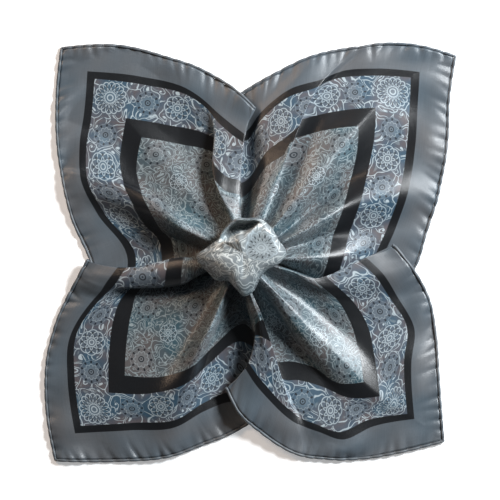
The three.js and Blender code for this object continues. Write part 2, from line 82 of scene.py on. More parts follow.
RIGHT_FOLDS = (
    (0, 0, 0, 0.843, 0.798, 0.1, 0.678, 0.722, 0.12, 0.478, 0.548, 0.25, 0.84, 43),
    (0.09, 0.09, 0.09, 0.817, 0.623, 0.06, 0.671, 0.568, 0.1, 0.473, 0.432, 0.2, 0.6, 36),
    (0.17, 0.17, 0.17, 0.811, 0.463, 0.1, 0.662, 0.432, 0.1, 0.452, 0.33, 0.1, 0.14, 29),
    (0.29, 0.29, 0.29, 0.772, 0.226, 0.12, 0.628, 0.231, 0.3, 0.412, 0.179, 0.56, 0.88, 20),
    (0.38, 0.38, 0.38, 0.718, 0.056, 0.08, 0.579, 0.086, 0.12, 0.373, 0.07, 0.23, 0.34, 12),
    (0.435, 0.445, 0.46, 0.687, -0.049, 0.06, 0.534, -0.016, 0.12, 0.349, -0.033, 0.56, 0.85, 4),
    (0.48, 0.495, 0.525, 0.643, -0.128, 0.06, 0.505, -0.107, 0.08, 0.32, -0.128, 0.15, 0.25, -1),
    (0.492, 0.507, 0.537, 0.641, -0.128, 0.21, 0.503, -0.105, 0.23, 0.318, -0.128, 0.29, 0.38, -3),
    (0.563, 0.572, 0.582, 0.586, 0.014, 0.23, 0.458, -0.043, 0.33, 0.28, -0.115, 0.52, 0.71, -7),
    (0.576, 0.583, 0.595, 0.586, 0.021, 0.4, 0.458, -0.039, 0.5, 0.278, -0.115, 0.67, 0.83, -9),
    (0.62, 0.625, 0.63, 0.65, -0.056, 0.38, 0.518, -0.091, 0.5, 0.318, -0.15, 0.62, 0.75, -13),
    (0.7, 0.7, 0.7, 0.73, -0.193, 0.12, 0.588, -0.193, 0.21, 0.386, -0.209, 0.34, 0.56, -20),
    (0.785, 0.785, 0.785, 0.764, -0.359, 0.06, 0.66, -0.32, 0.1, 0.443, -0.303, 0.2, 0.34, -25),
    (0.87, 0.87, 0.87, 0.774, -0.528, 0.12, 0.647, -0.462, 0.17, 0.474, -0.408, 0.16, 0.22, -34),
)
BOTTOM_FOLDS = (
    (0, 0, 0, 0.794, -0.788, 0.08, 0.66, -0.685, 0.1, 0.499, -0.575, 0.2, 0.82, -43),
    (0.1, 0.1, 0.1, 0.602, -0.835, 0.06, 0.492, -0.714, 0.12, 0.373, -0.576, 0.2, 0.64, -53),
    (0.18, 0.18, 0.18, 0.443, -0.861, 0.08, 0.369, -0.766, 0.17, 0.283, -0.522, 0.12, 0.22, -60),
    (0.22, 0.24, 0.26, 0.365, -0.862, 0.08, 0.274, -0.733, 0.17, 0.184, -0.495, 0.12, 0.12, -66),
    (0.26, 0.275, 0.319, 0.285, -0.856, 0.08, 0.218, -0.712, 0.15, 0.107, -0.487, 0.15, 0.1, -71),
    (0.275, 0.29, 0.36, 0.254, -0.854, 0.09, 0.195, -0.7, 0.18, 0.068, -0.421, 0.38, 0.45, -75),
    (0.29, 0.305, 0.4, 0.225, -0.849, 0.12, 0.174, -0.687, 0.25, 0.064, -0.322, 0.79, 0.96, -79),
    (0.4, 0.39, 0.42, 0.035, -0.743, 0.31, 0.07, -0.587, 0.46, 0.045, -0.318, 0.79, 0.96, -83),
    (0.46, 0.435, 0.43, -0.05, -0.662, 0.42, 0.021, -0.528, 0.54, 0.035, -0.318, 0.71, 0.92, -87),
    (0.51, 0.469, 0.436, -0.101, -0.567, 0.4, -0.016, -0.474, 0.52, 0.021, -0.326, 0.65, 0.79, -90),
    (0.522, 0.48, 0.446, -0.101, -0.571, 0.23, -0.016, -0.478, 0.35, 0.021, -0.33, 0.5, 0.67, -92),
    (0.555, 0.525, 0.47, -0.052, -0.643, 0.21, -0.002, -0.553, 0.27, 0.027, -0.355, 0.4, 0.46, -95),
    (0.583, 0.558, 0.5, -0.012, -0.707, 0.21, 0.023, -0.598, 0.21, 0.016, -0.363, 0.29, 0.38, -97),
    (0.594, 0.572, 0.51, -0.01, -0.713, 0.06, 0.014, -0.606, 0.06, 0.01, -0.359, 0.1, 0.12, -99),
    (0.63, 0.623, 0.545, -0.083, -0.756, 0.06, -0.093, -0.608, 0.02, -0.023, -0.336, 0.1, 0.1, -102),
    (0.68, 0.68, 0.68, -0.175, -0.793, 0.08, -0.188, -0.645, 0.12, -0.172, -0.439, 0.14, 0.22, -109),
    (0.76, 0.76, 0.76, -0.325, -0.847, 0.12, -0.307, -0.713, 0.25, -0.248, -0.509, 0.62, 0.95, -121),
    (0.87, 0.87, 0.87, -0.544, -0.868, 0.06, -0.49, -0.727, 0.12, -0.381, -0.555, 0.3, 0.38, -131),
)
LEFT_FOLDS = (
    (0, 0, 0, -0.804, -0.866, 0.08, -0.711, -0.74, 0.08, -0.551, -0.551, 0.17, 0.24, -140),
    (0.13, 0.13, 0.13, -0.843, -0.611, 0.08, -0.74, -0.52, 0.1, -0.544, -0.383, 0.14, 0.24, -149),
    (0.22, 0.22, 0.22, -0.834, -0.43, 0.06, -0.735, -0.367, 0.12, -0.525, -0.268, 0.12, 0.18, -156),
    (0.36, 0.335, 0.296, -0.74, -0.168, 0.12, -0.633, -0.204, 0.19, -0.493, -0.18, 0.1, 0.08, -163),
    (0.385, 0.36, 0.35, -0.715, -0.124, 0.21, -0.603, -0.173, 0.31, -0.42, -0.12, 0.14, 0.12, -167),
    (0.4, 0.385, 0.41, -0.702, -0.098, 0.27, -0.577, -0.14, 0.42, -0.318, -0.15, 0.58, 0.75, -168.5),
    (0.418, 0.41, 0.45, -0.687, -0.07, 0.31, -0.553, -0.107, 0.48, -0.31, -0.09, 0.88, 1, -172),
    (0.43, 0.43, 0.491, -0.672, -0.045, 0.31, -0.528, -0.074, 0.48, -0.299, -0.033, 0.75, 0.92, -178),
    (0.442, 0.441, 0.5, -0.666, -0.047, 0.19, -0.524, -0.076, 0.33, -0.299, -0.035, 0.62, 0.79, 179),
    (0.484, 0.465, 0.545, -0.627, -0.14, 0.2, -0.507, -0.126, 0.23, -0.33, -0.049, 0.31, 0.46, 177),
    (0.496, 0.475, 0.555, -0.629, -0.138, 0.06, -0.503, -0.128, 0.07, -0.334, -0.049, 0.19, 0.33, 175),
    (0.556, 0.505, 0.6, -0.662, -0.035, 0.06, -0.489, -0.066, 0.06, -0.348, 0.033, 0.08, 0.1, 170),
    (0.65, 0.655, 0.665, -0.738, 0.139, 0.12, -0.618, 0.153, 0.12, -0.402, 0.096, 0.25, 0.4, 158),
    (0.7, 0.71, 0.74, -0.762, 0.235, 0.16, -0.665, 0.235, 0.27, -0.446, 0.178, 0.6, 0.92, 151),
    (0.74, 0.765, 0.805, -0.778, 0.315, 0.15, -0.688, 0.305, 0.24, -0.482, 0.25, 0.48, 0.86, 143),
    (0.755, 0.78, 0.818, -0.783, 0.345, 0.12, -0.691, 0.33, 0.14, -0.486, 0.264, 0.17, 0.45, 140),
    (0.82, 0.83, 0.87, -0.797, 0.472, 0.1, -0.69, 0.435, 0.1, -0.503, 0.338, 0.06, 0.32, 135),
    (0.9, 0.9, 0.93, -0.798, 0.631, 0.06, -0.672, 0.551, 0, -0.498, 0.414, 0.02, 0.28, 130),
)
FOLDS = {"top": TOP_FOLDS, "right": RIGHT_FOLDS, "bottom": BOTTOM_FOLDS, "left": LEFT_FOLDS}
HEM_COLUMN, FIELD_LIFT, NECK_TURN = 3, 12, 13
STRIPE_RING, FRAME_RING = 0.8525, 0.65  # shares of the half side of the flat cloth
# The measured rings: share of the half side, and the first column of their places
MEASURED_RINGS = ((1.0, HEM_COLUMN), (STRIPE_RING, 6), (FRAME_RING, 9))
NECK_CENTRE = (-0.031, -0.041)
NECK_SAG = 0.75  # height of a flat valley where it runs under the bud, of the neck's lift
NECK_STATION = 4  # after the hem, stripe, frame and field

# The bud by direction in degrees: rim, hollow and lip, each as reach and lift.
# Reaches are shares of the bud radius and lifts are shares of the bud lift.
BUD = (
    (19, 0.81, 0.79, 0.70, 0.85, 0.40, 0.85),
    (43, 0.81, 0.84, 0.72, 0.89, 0.44, 0.87),
    (61, 0.81, 0.87, 0.75, 0.86, 0.67, 0.91),
    (69, 0.79, 0.88, 0.68, 0.64, 0.50, 0.94),
    (81, 0.74, 0.88, 0.62, 0.53, 0.37, 0.95),
    (103, 0.73, 0.86, 0.60, 0.52, 0.32, 0.95),
    (123, 0.67, 0.83, 0.56, 0.55, 0.32, 0.92),
    (138, 0.63, 0.80, 0.54, 0.64, 0.36, 0.90),
    (151, 0.61, 0.78, 0.55, 0.77, 0.47, 0.86),
    (160, 0.66, 0.76, 0.57, 0.80, 0.45, 0.85),
    (173, 0.78, 0.71, 0.62, 0.80, 0.38, 0.84),
    (184, 0.98, 0.67, 0.82, 0.74, 0.44, 0.82),
    (199, 0.89, 0.60, 0.63, 0.77, 0.38, 0.83),
    (212, 0.82, 0.58, 0.51, 0.80, 0.28, 0.84),
    (226, 0.80, 0.57, 0.51, 0.78, 0.28, 0.83),
    (241, 0.70, 0.58, 0.57, 0.74, 0.33, 0.82),
    (260, 0.82, 0.61, 0.75, 0.68, 0.42, 0.79),
    (272, 0.94, 0.60, 0.82, 0.66, 0.44, 0.77),
    (283, 0.88, 0.61, 0.74, 0.67, 0.42, 0.78),
    (299, 0.70, 0.63, 0.58, 0.73, 0.34, 0.81),
    (325, 0.64, 0.67, 0.54, 0.78, 0.31, 0.83),
    (345, 0.83, 0.71, 0.70, 0.80, 0.38, 0.84),
    (357, 0.93, 0.73, 0.81, 0.81, 0.42, 0.85),
)
BUD_CENTRE = (-0.031, -0.012)
CROWN_LIFT, CROWN_REACH = 0.85, 0.5  # of the bud lift, of the lip's reach
THROAT_REACH, THROAT_LIFT = 0.80, 0.50  # of the neck radius, of the way up to the underside
UNDERSIDE_REACH, UNDERSIDE_LIFT = 0.93, 0.50  # of the rim's reach, of the way up to the rim
UNDER_HOLLOW = 0.88  # highest that the underside may be, of the hollow's lift
# Shares of the gathered radius at the throat, under the rim, rim, hollow, lip, crown, centre
BUD_RINGS = (0.90, 0.75, 0.55, 0.45, 0.33, 0.17, 0.0)

SIDES = (
    ("top", (-1, 1), (1, 1)),
    ("right", (1, 1), (1, -1)),
    ("bottom", (1, -1), (-1, -1)),
    ("left", (-1, -1), (-1, 1)),
)

# The mesh of the cloth
COLUMN_PITCH, LEAST_COLUMNS = 0.0014, 8  # widest column at the hem, fewest between two rows
FIRST_RING = 0.006  # where the sheet starts in the rolled hem, as a share of the way in
BORDER_END = 0.115  # where the puckered border ends, as a share of the way in
HEM_RINGS = 13  # rings in the puckered border, with every column
OPEN_RINGS = 44  # rings from there to the neck, with every second column
CROWN_RINGS = 36  # rings from the neck to the crown, with every fourth column
FLOOR_GAP = 0.0005  # lowest that the middle of the cloth may lie

# The heights are evened out along the four corner lines of the open cloth
EVEN_PASSES, EVEN_SHARE, EVEN_WIDTH = 160, 0.5, 0.015
EVEN_FROM, EVEN_TO = 1.1, 0.46  # of the gathered radius, of the side

# Small waves: height, number, shortest and longest
BORDER_WAVES, BORDER_REACH = (0.0030, 7, 0.024, 0.060), 0.024
CLOTH_WAVES = (0.0005, 8, 0.020, 0.060)

# The stitches slip along the hem in waves: by how much, how long, and where they start
STITCH_SLIPS = ((0.0014, 0.0131, 0.0), (0.0009, 0.0072, 2.0))
STITCH_DRAWS, SIDE_DRAWS = 250, 50  # random draws in all, and for each side
PINCH_LEAST, PINCH_MORE = 0.35, 1.0  # least depth and how much more, of the puckers' depth
PINCH_WIDTH, PINCH_LEAN = 0.0019, 0.6  # width along the hem, sideways drift on the way in
PUCKER_LENGTH, PUCKER_LONGER = 0.0042, 0.0050  # least reach into the cloth, how much more
PUCKER_FADE = 1.5  # power by which puckers fade on the way in
SWELL_SHARE, SWELL_LENGTH = 0.35, 0.0080  # of the cloth between the puckers

HEM_RIDE = 0.6  # how far the hem follows the puckers
HEM_SIDES, HEM_END = 12, 0.6  # sides of the rolled hem, and how far its ends are rounded
STITCH_BITE, BITE_LENGTH = 0.26, 0.0011  # pinch of a stitch, as a share of the hem's radius
STITCH_SWEEP = 230  # how far the thread goes round the roll, in degrees
STITCH_SINK = 0.3  # how far the thread stands off the pinched roll, of its diameter
ARCH_POINTS, THREAD_SIDES = 11, 6  # of each stitch
SLANT_RANGE = (0.4, 1.4)  # of the stitches' slant

# Each silk's share of the border's colour, and its roughness; the rolled silk's smaller share is
# painted shade, darkening the hems for the shade round the roll
SILKS = {"Printed silk": (1.0, 0.37), "Rolled silk": (0.9, 0.52)}
STRIPE_GLOSS = 0.07  # how much smoother the charcoal stripes are
WEAVE_BUMP = (0.35, 0.00006)  # strength and depth
SATIN = {
    "IOR": 1.55,
    "Specular IOR Level": 0.5,
    "Anisotropic": 0.2,
    "Sheen Weight": 0.06,
    "Sheen Roughness": 0.45,
    "Sheen Tint": (0.75, 0.85, 0.95, 1.0),
}
PLY_SCALE, PLY_LIGHT = 2600.0, 1.5  # twist of the thread, and its lighter side
PLY_ROUGHNESS, PLY_DULLER = 0.38, 0.2
PLY_BUMP = (0.5, 0.00003)  # strength and depth

# name, colour, power in watts, side in metres, place
LIGHTS = (
    ("window", (0.93, 0.97, 1.0), 31.0, 0.33, (0.765, 0.505, 0.66)),
    ("lamp", (1.0, 0.72, 0.52), 12.0, 0.5, (-1.10, 0.90, 0.85)),
)
ROOM_COLOUR, ROOM_STRENGTH = (0.86, 0.92, 1.0, 1.0), 0.06
FLOOR_FINISH = {
    "Roughness": 0.9,
    "Specular IOR Level": 0.1,
    "Emission Color": (1.0, 1.0, 1.0, 1.0),
    "Emission Strength": 0.35,  # keeps the floor white in the soft shadows
}
VIEW_MIDDLE = (-0.00056, 0.00162)  # the photographed frame's middle on the floor
VIEW_END = 20.0  # farthest that the camera sees
TINY = 1e-12  # least length that is divided by


def length_property(name, description, default):
    return FloatProperty(name=name, description=description, default=default, unit="LENGTH")


class ClothSizes(bpy.types.PropertyGroup):
    """Sizes of the folded cloth"""

    side: length_property("Side", "Side of the flat square", 0.330)
    wall: length_property("Wall", "Thickness of the silk as drawn", 0.0003)
    hem: length_property("Hem", "Diameter of the rolled hem", 0.0021)
    stitch_pitch: length_property("Stitch pitch", "Distance between the hem's stitches", 0.008)
    pucker: length_property("Pucker", "Depth of the dimples that the stitches pull", 0.0011)
    fold_lift: length_property("Fold lift", "Height of the highest folds", 0.024)
    neck_radius: length_property("Neck radius", "Radius of the neck", 0.0115)
    neck_lift: length_property("Neck lift", "Height of the neck", 0.022)
    gathered_radius: length_property(
        "Gathered radius", "Flat radius of the cloth pulled up into the bud", 0.042
    )
    bud_radius: length_property("Bud radius", "Widest reach of the bud", 0.030)
    bud_lift: length_property("Bud lift", "Top of the bud", 0.048)
    thread: length_property("Thread", "Diameter of the hem's thread", 0.00032)
    stitch_slant: FloatProperty(
        name="Stitch slant",
        description="Lean of the hem stitches along the hem",
        default=math.radians(24),
        unit="ROTATION",
    )
    seed: IntProperty(name="Seed", description="Seed of the small waves", default=7)


def colour_property(name, description, default):
    return FloatVectorProperty(
        name=name,
        description=description,
        default=default,
        size=3,
        min=0.0,
        max=1.0,
        subtype="COLOR",
    )


class PrintColours(bpy.types.PropertyGroup):
    """Colours of the printed silk, and of the painted highlight on the bud's face"""

    border: colour_property("Border", "Plain outer border", (0.084, 0.089, 0.096))
    border_cool: colour_property("Border, cool", "Bluish cast of the border", (0.062, 0.082, 0.100))
    stripe: colour_property("Stripe", "Charcoal stripes", (0.006, 0.0068, 0.0082))
    band_blue: colour_property("Band, blue", "Blue ground of the lace band", (0.030, 0.064, 0.098))
    band_mauve: colour_property("Band, mauve", "Mauve ground of the band", (0.078, 0.070, 0.077))
    field: colour_property("Field", "Ground of the middle field", (0.080, 0.075, 0.077))
    field_cool: colour_property("Field, cool", "Bluish cast of the field", (0.032, 0.068, 0.086))
    # Painted highlight: this lighter ground on the bud's face stands in for the light that the raised
    # face catches
    middle: colour_property("Middle", "Lighter cast of the cloth in the bud", (0.225, 0.252, 0.265))
    lace: colour_property("Lace", "Pale lines of the rosettes", (0.380, 0.445, 0.475))
    scroll: colour_property("Scroll", "Lines of the scrollwork", (0.215, 0.260, 0.275))
    # Painted highlight: the vine lines on the bud's face are drawn paler for the same light
    middle_lace: colour_property("Middle lace", "Pale lines in the bud", (0.640, 0.680, 0.670))
    dots: colour_property("Dots", "Dark dots of the rosettes", (0.006, 0.009, 0.014))
    thread: colour_property("Thread", "Sewing thread of the hems", (0.085, 0.091, 0.097))


class StageSettings(bpy.types.PropertyGroup):
    """Floor, lights and camera"""

    floor: colour_property("Floor", "Pale floor", (0.86, 0.86, 0.86))
    floor_side: length_property("Floor side", "Side of the floor", 6.0)
    camera_height: length_property("Camera height", "Camera above the floor", 2.6)
    view_width: length_property("View width", "Width of the floor in the camera's view", 0.3402)


def curve_through(knots, values, level=False):
    """Cubic curve through values at uneven knots. A level curve has no overshoot."""
    knots = np.asarray(knots, float)
    values = np.asarray(values, float)
    steps = np.diff(knots)
    steps = steps.reshape((-1,) + (1,) * (values.ndim - 1))
    rises = np.diff(values, axis=0) / steps
    before, after = rises[:-1], rises[1:]
    slopes = np.zeros_like(values)
    if level:
        total = before + after
        safe = np.where(np.abs(total) > TINY, total, 1.0)
        slopes[1:-1] = np.where(before * after > 0, 2 * before * after / safe, 0)
    else:
        slopes[1:-1] = (steps[1:] * before + steps[:-1] * after) / (steps[1:] + steps[:-1])
    for end, inner, rise in ((0, 1, rises[0]), (-1, -2, rises[-1])):
        slope = (3 * rise - slopes[inner]) / 2
        slopes[end] = np.where(slope * rise < 0, 0, slope) if level else slope

    def at(places):
        places = np.asarray(places, float)
        i = np.clip(np.searchsorted(knots, places, side="right") - 1, 0, len(knots) - 2)
        shape = places.shape + (1,) * (values.ndim - 1)
        step = (knots[i + 1] - knots[i]).reshape(shape)
        t = (places - knots[i]).reshape(shape) / step
        rest = 1 - t
        return (
            values[i] * (1 + 2 * t) * rest**2
            + step * slopes[i] * t * rest**2
            + values[i + 1] * t**2 * (3 - 2 * t)
            - step * slopes[i + 1] * t**2 * rest
        )

    return at


def side_rows(name):
    """Fold rows of one side, closed by the next side's corner row."""
    names = list(FOLDS)
    after = names[(names.index(name) + 1) % len(names)]
    closing = (1, 1, 1, *FOLDS[after][0][HEM_COLUMN:])
    return np.array([*FOLDS[name], closing], float)


def column_places(rows, side):
    """Row indices of the mesh columns: closer together where the rows are closer."""
    places = []
    for i in range(len(rows) - 1):
        width = (rows[i + 1, 0] - rows[i, 0]) * side
        count = max(LEAST_COLUMNS, 4 * math.ceil(width / COLUMN_PITCH / 4))
        places.extend(i + k / count for k in range(count))
    return np.array(places)


def side_stations(side, index, sizes):
    """Flat place and folded place of the columns at the hem, stripe, frame, field and neck."""
    name, start, end = side
    rows = side_rows(name)
    order = np.arange(len(rows))
    half = sizes.side / 2
    start, end = np.array(start, float), np.array(end, float)
    flats, folded = [], []
    for ring, (share, first) in enumerate(MEASURED_RINGS):
        knots = rows[:, ring]
        at = curve_through(order, knots, level=True)(index)
        plan = curve_through(knots, rows[:, first : first + 2])(at) * half
        lift = curve_through(knots, rows[:, first + 2], level=True)(at) * sizes.fold_lift
        flats.append((start + (end - start) * at[:, None]) * share * half)
        folded.append(np.column_stack([plan, lift]))
    turns = np.degrees(np.unwrap(np.radians(rows[:, NECK_TURN])))
    turn = np.radians(curve_through(order, turns, level=True)(index))
    neck = np.column_stack(
        [
            NECK_CENTRE[0] * half + sizes.neck_radius * np.cos(turn),
            NECK_CENTRE[1] * half + sizes.neck_radius * np.sin(turn),
            np.full(len(turn), sizes.neck_lift),
        ]
    )
    outward = flats[2] / np.linalg.norm(flats[2], axis=1)[:, None]
    field = (folded[2] + neck) / 2
    field[:, 2] = curve_through(knots, rows[:, FIELD_LIFT], level=True)(at)
    neck[:, 2] *= NECK_SAG + (1 - NECK_SAG) * field[:, 2]
    field[:, 2] *= sizes.fold_lift
    flats += [(flats[2] + outward * sizes.gathered_radius) / 2, outward * sizes.gathered_radius]
    folded += [field, neck]
    return flats, folded, turn, outward


def bud_stations(turn, outward, neck_lift, sizes):
    """Flat and folded places of the columns from the throat over the rim to the crown."""
    half = sizes.side / 2
    table = np.array(BUD, float)
    knots = np.concatenate([table[:, 0] + whole for whole in (-360, 0, 360)])
    degrees = np.mod(np.degrees(turn), 360)
    measures = []
    for column in range(1, table.shape[1]):
        values = np.tile(table[:, column], 3)
        is_lift = column % 2 == 0
        scale = sizes.bud_lift if is_lift else sizes.bud_radius
        measures.append(curve_through(knots, values, level=is_lift)(degrees) * scale)
    rim, rim_lift, hollow, hollow_lift, lip, lip_lift = measures
    neck, bud = np.array(NECK_CENTRE) * half, np.array(BUD_CENTRE) * half
    top = CROWN_LIFT * sizes.bud_lift

    def place(centre, reach, lift):
        plan = centre + np.column_stack([np.cos(turn), np.sin(turn)]) * np.reshape(reach, (-1, 1))
        return np.column_stack([plan, np.broadcast_to(lift, turn.shape)])

    climb = sizes.neck_lift + UNDERSIDE_LIFT * (rim_lift - sizes.neck_lift)
    under_lift = np.minimum(climb, UNDER_HOLLOW * hollow_lift)
    throat_lift = neck_lift + THROAT_LIFT * (under_lift - neck_lift)
    folded = [
        place(neck, np.full(len(turn), THROAT_REACH * sizes.neck_radius), throat_lift),
        place(bud, UNDERSIDE_REACH * rim, under_lift),
        place(bud, rim, rim_lift),
        place(bud, hollow, hollow_lift),
        place(bud, lip, lip_lift),
        place(bud, lip * CROWN_REACH, top + CROWN_REACH * (lip_lift - top)),
        place(bud, np.zeros(len(turn)), top),
    ]
    path = np.stack([place(neck, np.full(len(turn), sizes.neck_radius), neck_lift)] + folded)
    steps = np.linalg.norm(np.diff(path, axis=0), axis=2)[::-1].cumsum(axis=0)
    shares = np.concatenate([(steps[:-1] / steps[-1])[::-1], np.zeros((1, len(turn)))])
    return [outward * sizes.gathered_radius * share[:, None] for share in shares], folded


def ring_knots(sizes):
    """Place of each station between the hem, 0, and the middle of the cloth, 1."""
    gathered = sizes.gathered_radius / (sizes.side / 2)
    field = (FRAME_RING + gathered) / 2
    rings = [1.0, STRIPE_RING, FRAME_RING, field, gathered]
    return 1 - np.array(rings + [gathered * share for share in BUD_RINGS])


def soft_waves(flat, seed, waves, shortest, longest):
    """Small smooth unevenness, from -1 to 1, that is the same on each run."""
    draw = np.random.default_rng(seed)
    height = np.zeros(flat.shape[:-1])
    for _ in range(waves):
        length, turn, shift = draw.uniform(shortest, longest), *draw.uniform(0, 2 * math.pi, 2)
        along = flat[..., 0] * math.cos(turn) + flat[..., 1] * math.sin(turn)
        height += np.sin(2 * math.pi * along / length + shift)
    return height / waves


def surface_normals(points, faces):
    normals = np.zeros_like(points)
    corners = points[faces]
    across = np.cross(corners[:, 1] - corners[:, 0], corners[:, 2] - corners[:, 0])
    for corner in range(3):
        np.add.at(normals, faces[:, corner], across)
    return normals / np.maximum(np.linalg.norm(normals, axis=1), TINY)[:, None]


def join_rings(outer, inner):
    """Triangles between two closed rings, the outer one with one or more columns per inner one."""
    ratio = len(outer) // len(inner)
    faces = []
    for j, near in enumerate(inner):
        next_near = inner[(j + 1) % len(inner)]
        for k in range(ratio):
            a, b = outer[j * ratio + k], outer[(j * ratio + k + 1) % len(outer)]
            if k == ratio // 2:
                faces.append((a, near, next_near))
            faces.append((a, near if k < ratio // 2 else next_near, b))
    return faces


def soften(points, faces, share, passes):
    """Evens out the heights of neighbours, by each point's own share."""
    one = faces[:, [0, 1, 2, 1, 2, 0]].ravel()
    other = faces[:, [1, 2, 0, 0, 1, 2]].ravel()
    count = np.bincount(one, minlength=len(points))
    for _ in range(passes):
        mean = np.bincount(one, points[other, 2], len(points)) / count
        points[:, 2] += share * (mean - points[:, 2])


class FoldedCloth:
    """The folded surface as points, triangles and flat places, and the line of its hem."""

    def __init__(self, sizes):
        self.sizes = sizes
        flats, folded = self.stations()
        knots = ring_knots(sizes)
        flat_at = curve_through(knots, flats)
        plan_at = curve_through(knots, folded[..., :2])
        lift_at = curve_through(knots, folded[..., 2], level=True)
        self.hem_flat = flat_at(np.array([0.0]))[0]
        points, flat, rings = [], [], []
        for place, step in self.ring_places(knots[NECK_STATION]):
            at = np.array([place])
            ring = np.column_stack([plan_at(at)[0], lift_at(at)[0]])[::step]
            rings.append(np.arange(len(ring)) + sum(len(block) for block in points))
            points.append(ring)
            flat.append(flat_at(at)[0][::step])
        points = np.concatenate(points + [folded[-1, :1]])
        flat = np.concatenate(flat + [np.zeros((1, 2))])
        faces = []
        for outer, inner in zip(rings, rings[1:]):
            faces += join_rings(outer, inner)
        last, top = rings[-1], len(points) - 1
        faces += [(near, top, last[(j + 1) % len(last)]) for j, near in enumerate(last)]
        faces = np.array(faces)
        points[:, 2] = np.maximum(points[:, 2], FLOOR_GAP)
        soften(points, faces, self.corner_share(flat), EVEN_PASSES)
        normals = surface_normals(points, faces)
        points += normals * self.unevenness(flat)[:, None]
        points[:, 2] = np.maximum(points[:, 2], FLOOR_GAP)
        shift = np.array([*SHIFT_MM, 0.0]) * MM
        self.points, self.flat, self.faces, self.rim = points + shift, flat, faces, rings[0]
        self.hem_line = self.hem_path(folded[0], flats[0], normals[rings[0]]) + shift

    def stations(self):
        """Flat and folded places of all columns, from the hem to the middle of the bud."""
        flats, folded, self.side_counts = [], [], []
        for side in SIDES:
            index = column_places(side_rows(side[0]), self.sizes.side)
            side_flats, side_folded, turn, outward = side_stations(side, index, self.sizes)
            neck_lift = side_folded[-1][:, 2]
            bud_flats, bud_folded = bud_stations(turn, outward, neck_lift, self.sizes)
            flats.append(np.stack(side_flats + bud_flats))
            folded.append(np.stack(side_folded + bud_folded))
            self.side_counts.append(len(index))
        return np.concatenate(flats, axis=1), np.concatenate(folded, axis=1)

    def ring_places(self, neck):
        """Place of each ring between the hem and the middle, and its step over the columns."""
        border = np.linspace(FIRST_RING, BORDER_END, HEM_RINGS)
        opened = np.linspace(BORDER_END, neck, OPEN_RINGS + 1)[1:]
        gathered = np.linspace(neck, 1, CROWN_RINGS + 1)[1:-1]
        for places, step in ((border, 1), (opened, 2), (gathered, 4)):
            for place in places:
                yield place, step

    def corner_share(self, flat):
        """How far the heights are evened out: along the four corner lines of the open cloth."""
        size = np.abs(flat)
        reach = size.max(axis=1)
        inside, outside = EVEN_FROM * self.sizes.gathered_radius, EVEN_TO * self.sizes.side
        off_line = (size[:, 0] - size[:, 1]) / EVEN_WIDTH
        return EVEN_SHARE * ((reach > inside) & (reach < outside)) * np.exp(-(off_line**2))

    def near_stitch(self, flat):
        """Number of the nearest hem stitch, the distance along the side, and to the hem."""
        half = self.sizes.side / 2
        size = np.abs(flat)
        across = size[:, 0] > size[:, 1]
        along = np.where(across, flat[:, 1], flat[:, 0])
        inward = half - size.max(axis=1)
        slip = sum(much * np.sin(along / wave + start) for much, wave, start in STITCH_SLIPS)
        count = (along + slip + half) / self.sizes.stitch_pitch
        number = np.round(count)
        side = SIDE_DRAWS * (across + 2.0 * (flat.sum(axis=1) > 0))
        return number + side, (count - number) * self.sizes.stitch_pitch, inward

    def unevenness(self, flat):
        """Height of the small puckers and waves above the smooth folds."""
        pucker, seed = self.sizes.pucker, self.sizes.seed
        number, away, inward = self.near_stitch(flat)
        draw = np.random.default_rng(seed + 5).uniform(0, 1, (STITCH_DRAWS, 3))
        pull, reach, lean = draw[number.astype(int)].T
        shifted = away + PINCH_LEAN * (lean - 0.5) * inward
        length = PUCKER_LENGTH + PUCKER_LONGER * reach
        pinch = (PINCH_LEAST + PINCH_MORE * pull) * np.exp(-((shifted / PINCH_WIDTH) ** 2))
        height = -pucker * pinch * np.exp(-((inward / length) ** PUCKER_FADE))
        height += SWELL_SHARE * pucker * np.exp(-((inward / SWELL_LENGTH) ** PUCKER_FADE))
        border = np.exp(-((inward / BORDER_REACH) ** 2))
        for step, (share, (tall, *waves)) in enumerate(((border, BORDER_WAVES), (1, CLOTH_WAVES))):
            height += tall * share * soft_waves(flat, seed + step, *waves)
        return height

    def hem_path(self, hem, flat, normals):
        """Centre line of the rolled hem, riding over the same puckers."""
        path = hem + normals * self.unevenness(flat)[:, None] * HEM_RIDE
        path[:, 2] = np.maximum(path[:, 2], self.sizes.hem / 2)
        return path


def link_object(name, data):
    made = bpy.data.objects.new(name, data)
    bpy.context.scene.collection.objects.link(made)
    return made


def new_mesh_object(name, points, faces, flat, side):
    mesh = bpy.data.meshes.new(name)
    mesh.from_pydata(points.tolist(), [], faces.tolist())
    mesh.validate()
    layer = mesh.uv_layers.new(name=FLAT_MAP)
    corners = np.empty(len(mesh.loops), int)
    mesh.loops.foreach_get("vertex_index", corners)
    layer.data.foreach_set("uv", (flat[corners] / side + 0.5).ravel())
    mesh.polygons.foreach_set("use_smooth", [True] * len(mesh.polygons))
    return link_object(name, mesh)


def walled(points, faces, rim, wall):
    """Gives an open surface a closed wall of even thickness."""
    normals = surface_normals(points, faces)
    count = len(points)
    both = np.concatenate([points + normals * wall / 2, points - normals * wall / 2])
    both[:, 2] = np.maximum(both[:, 2], 0)
    after = np.roll(rim, -1)
    outer_edge = np.column_stack([rim, after, after + count])
    inner_edge = np.column_stack([rim, after + count, rim + count])
    return both, np.concatenate([faces, faces[:, ::-1] + count, outer_edge, inner_edge])


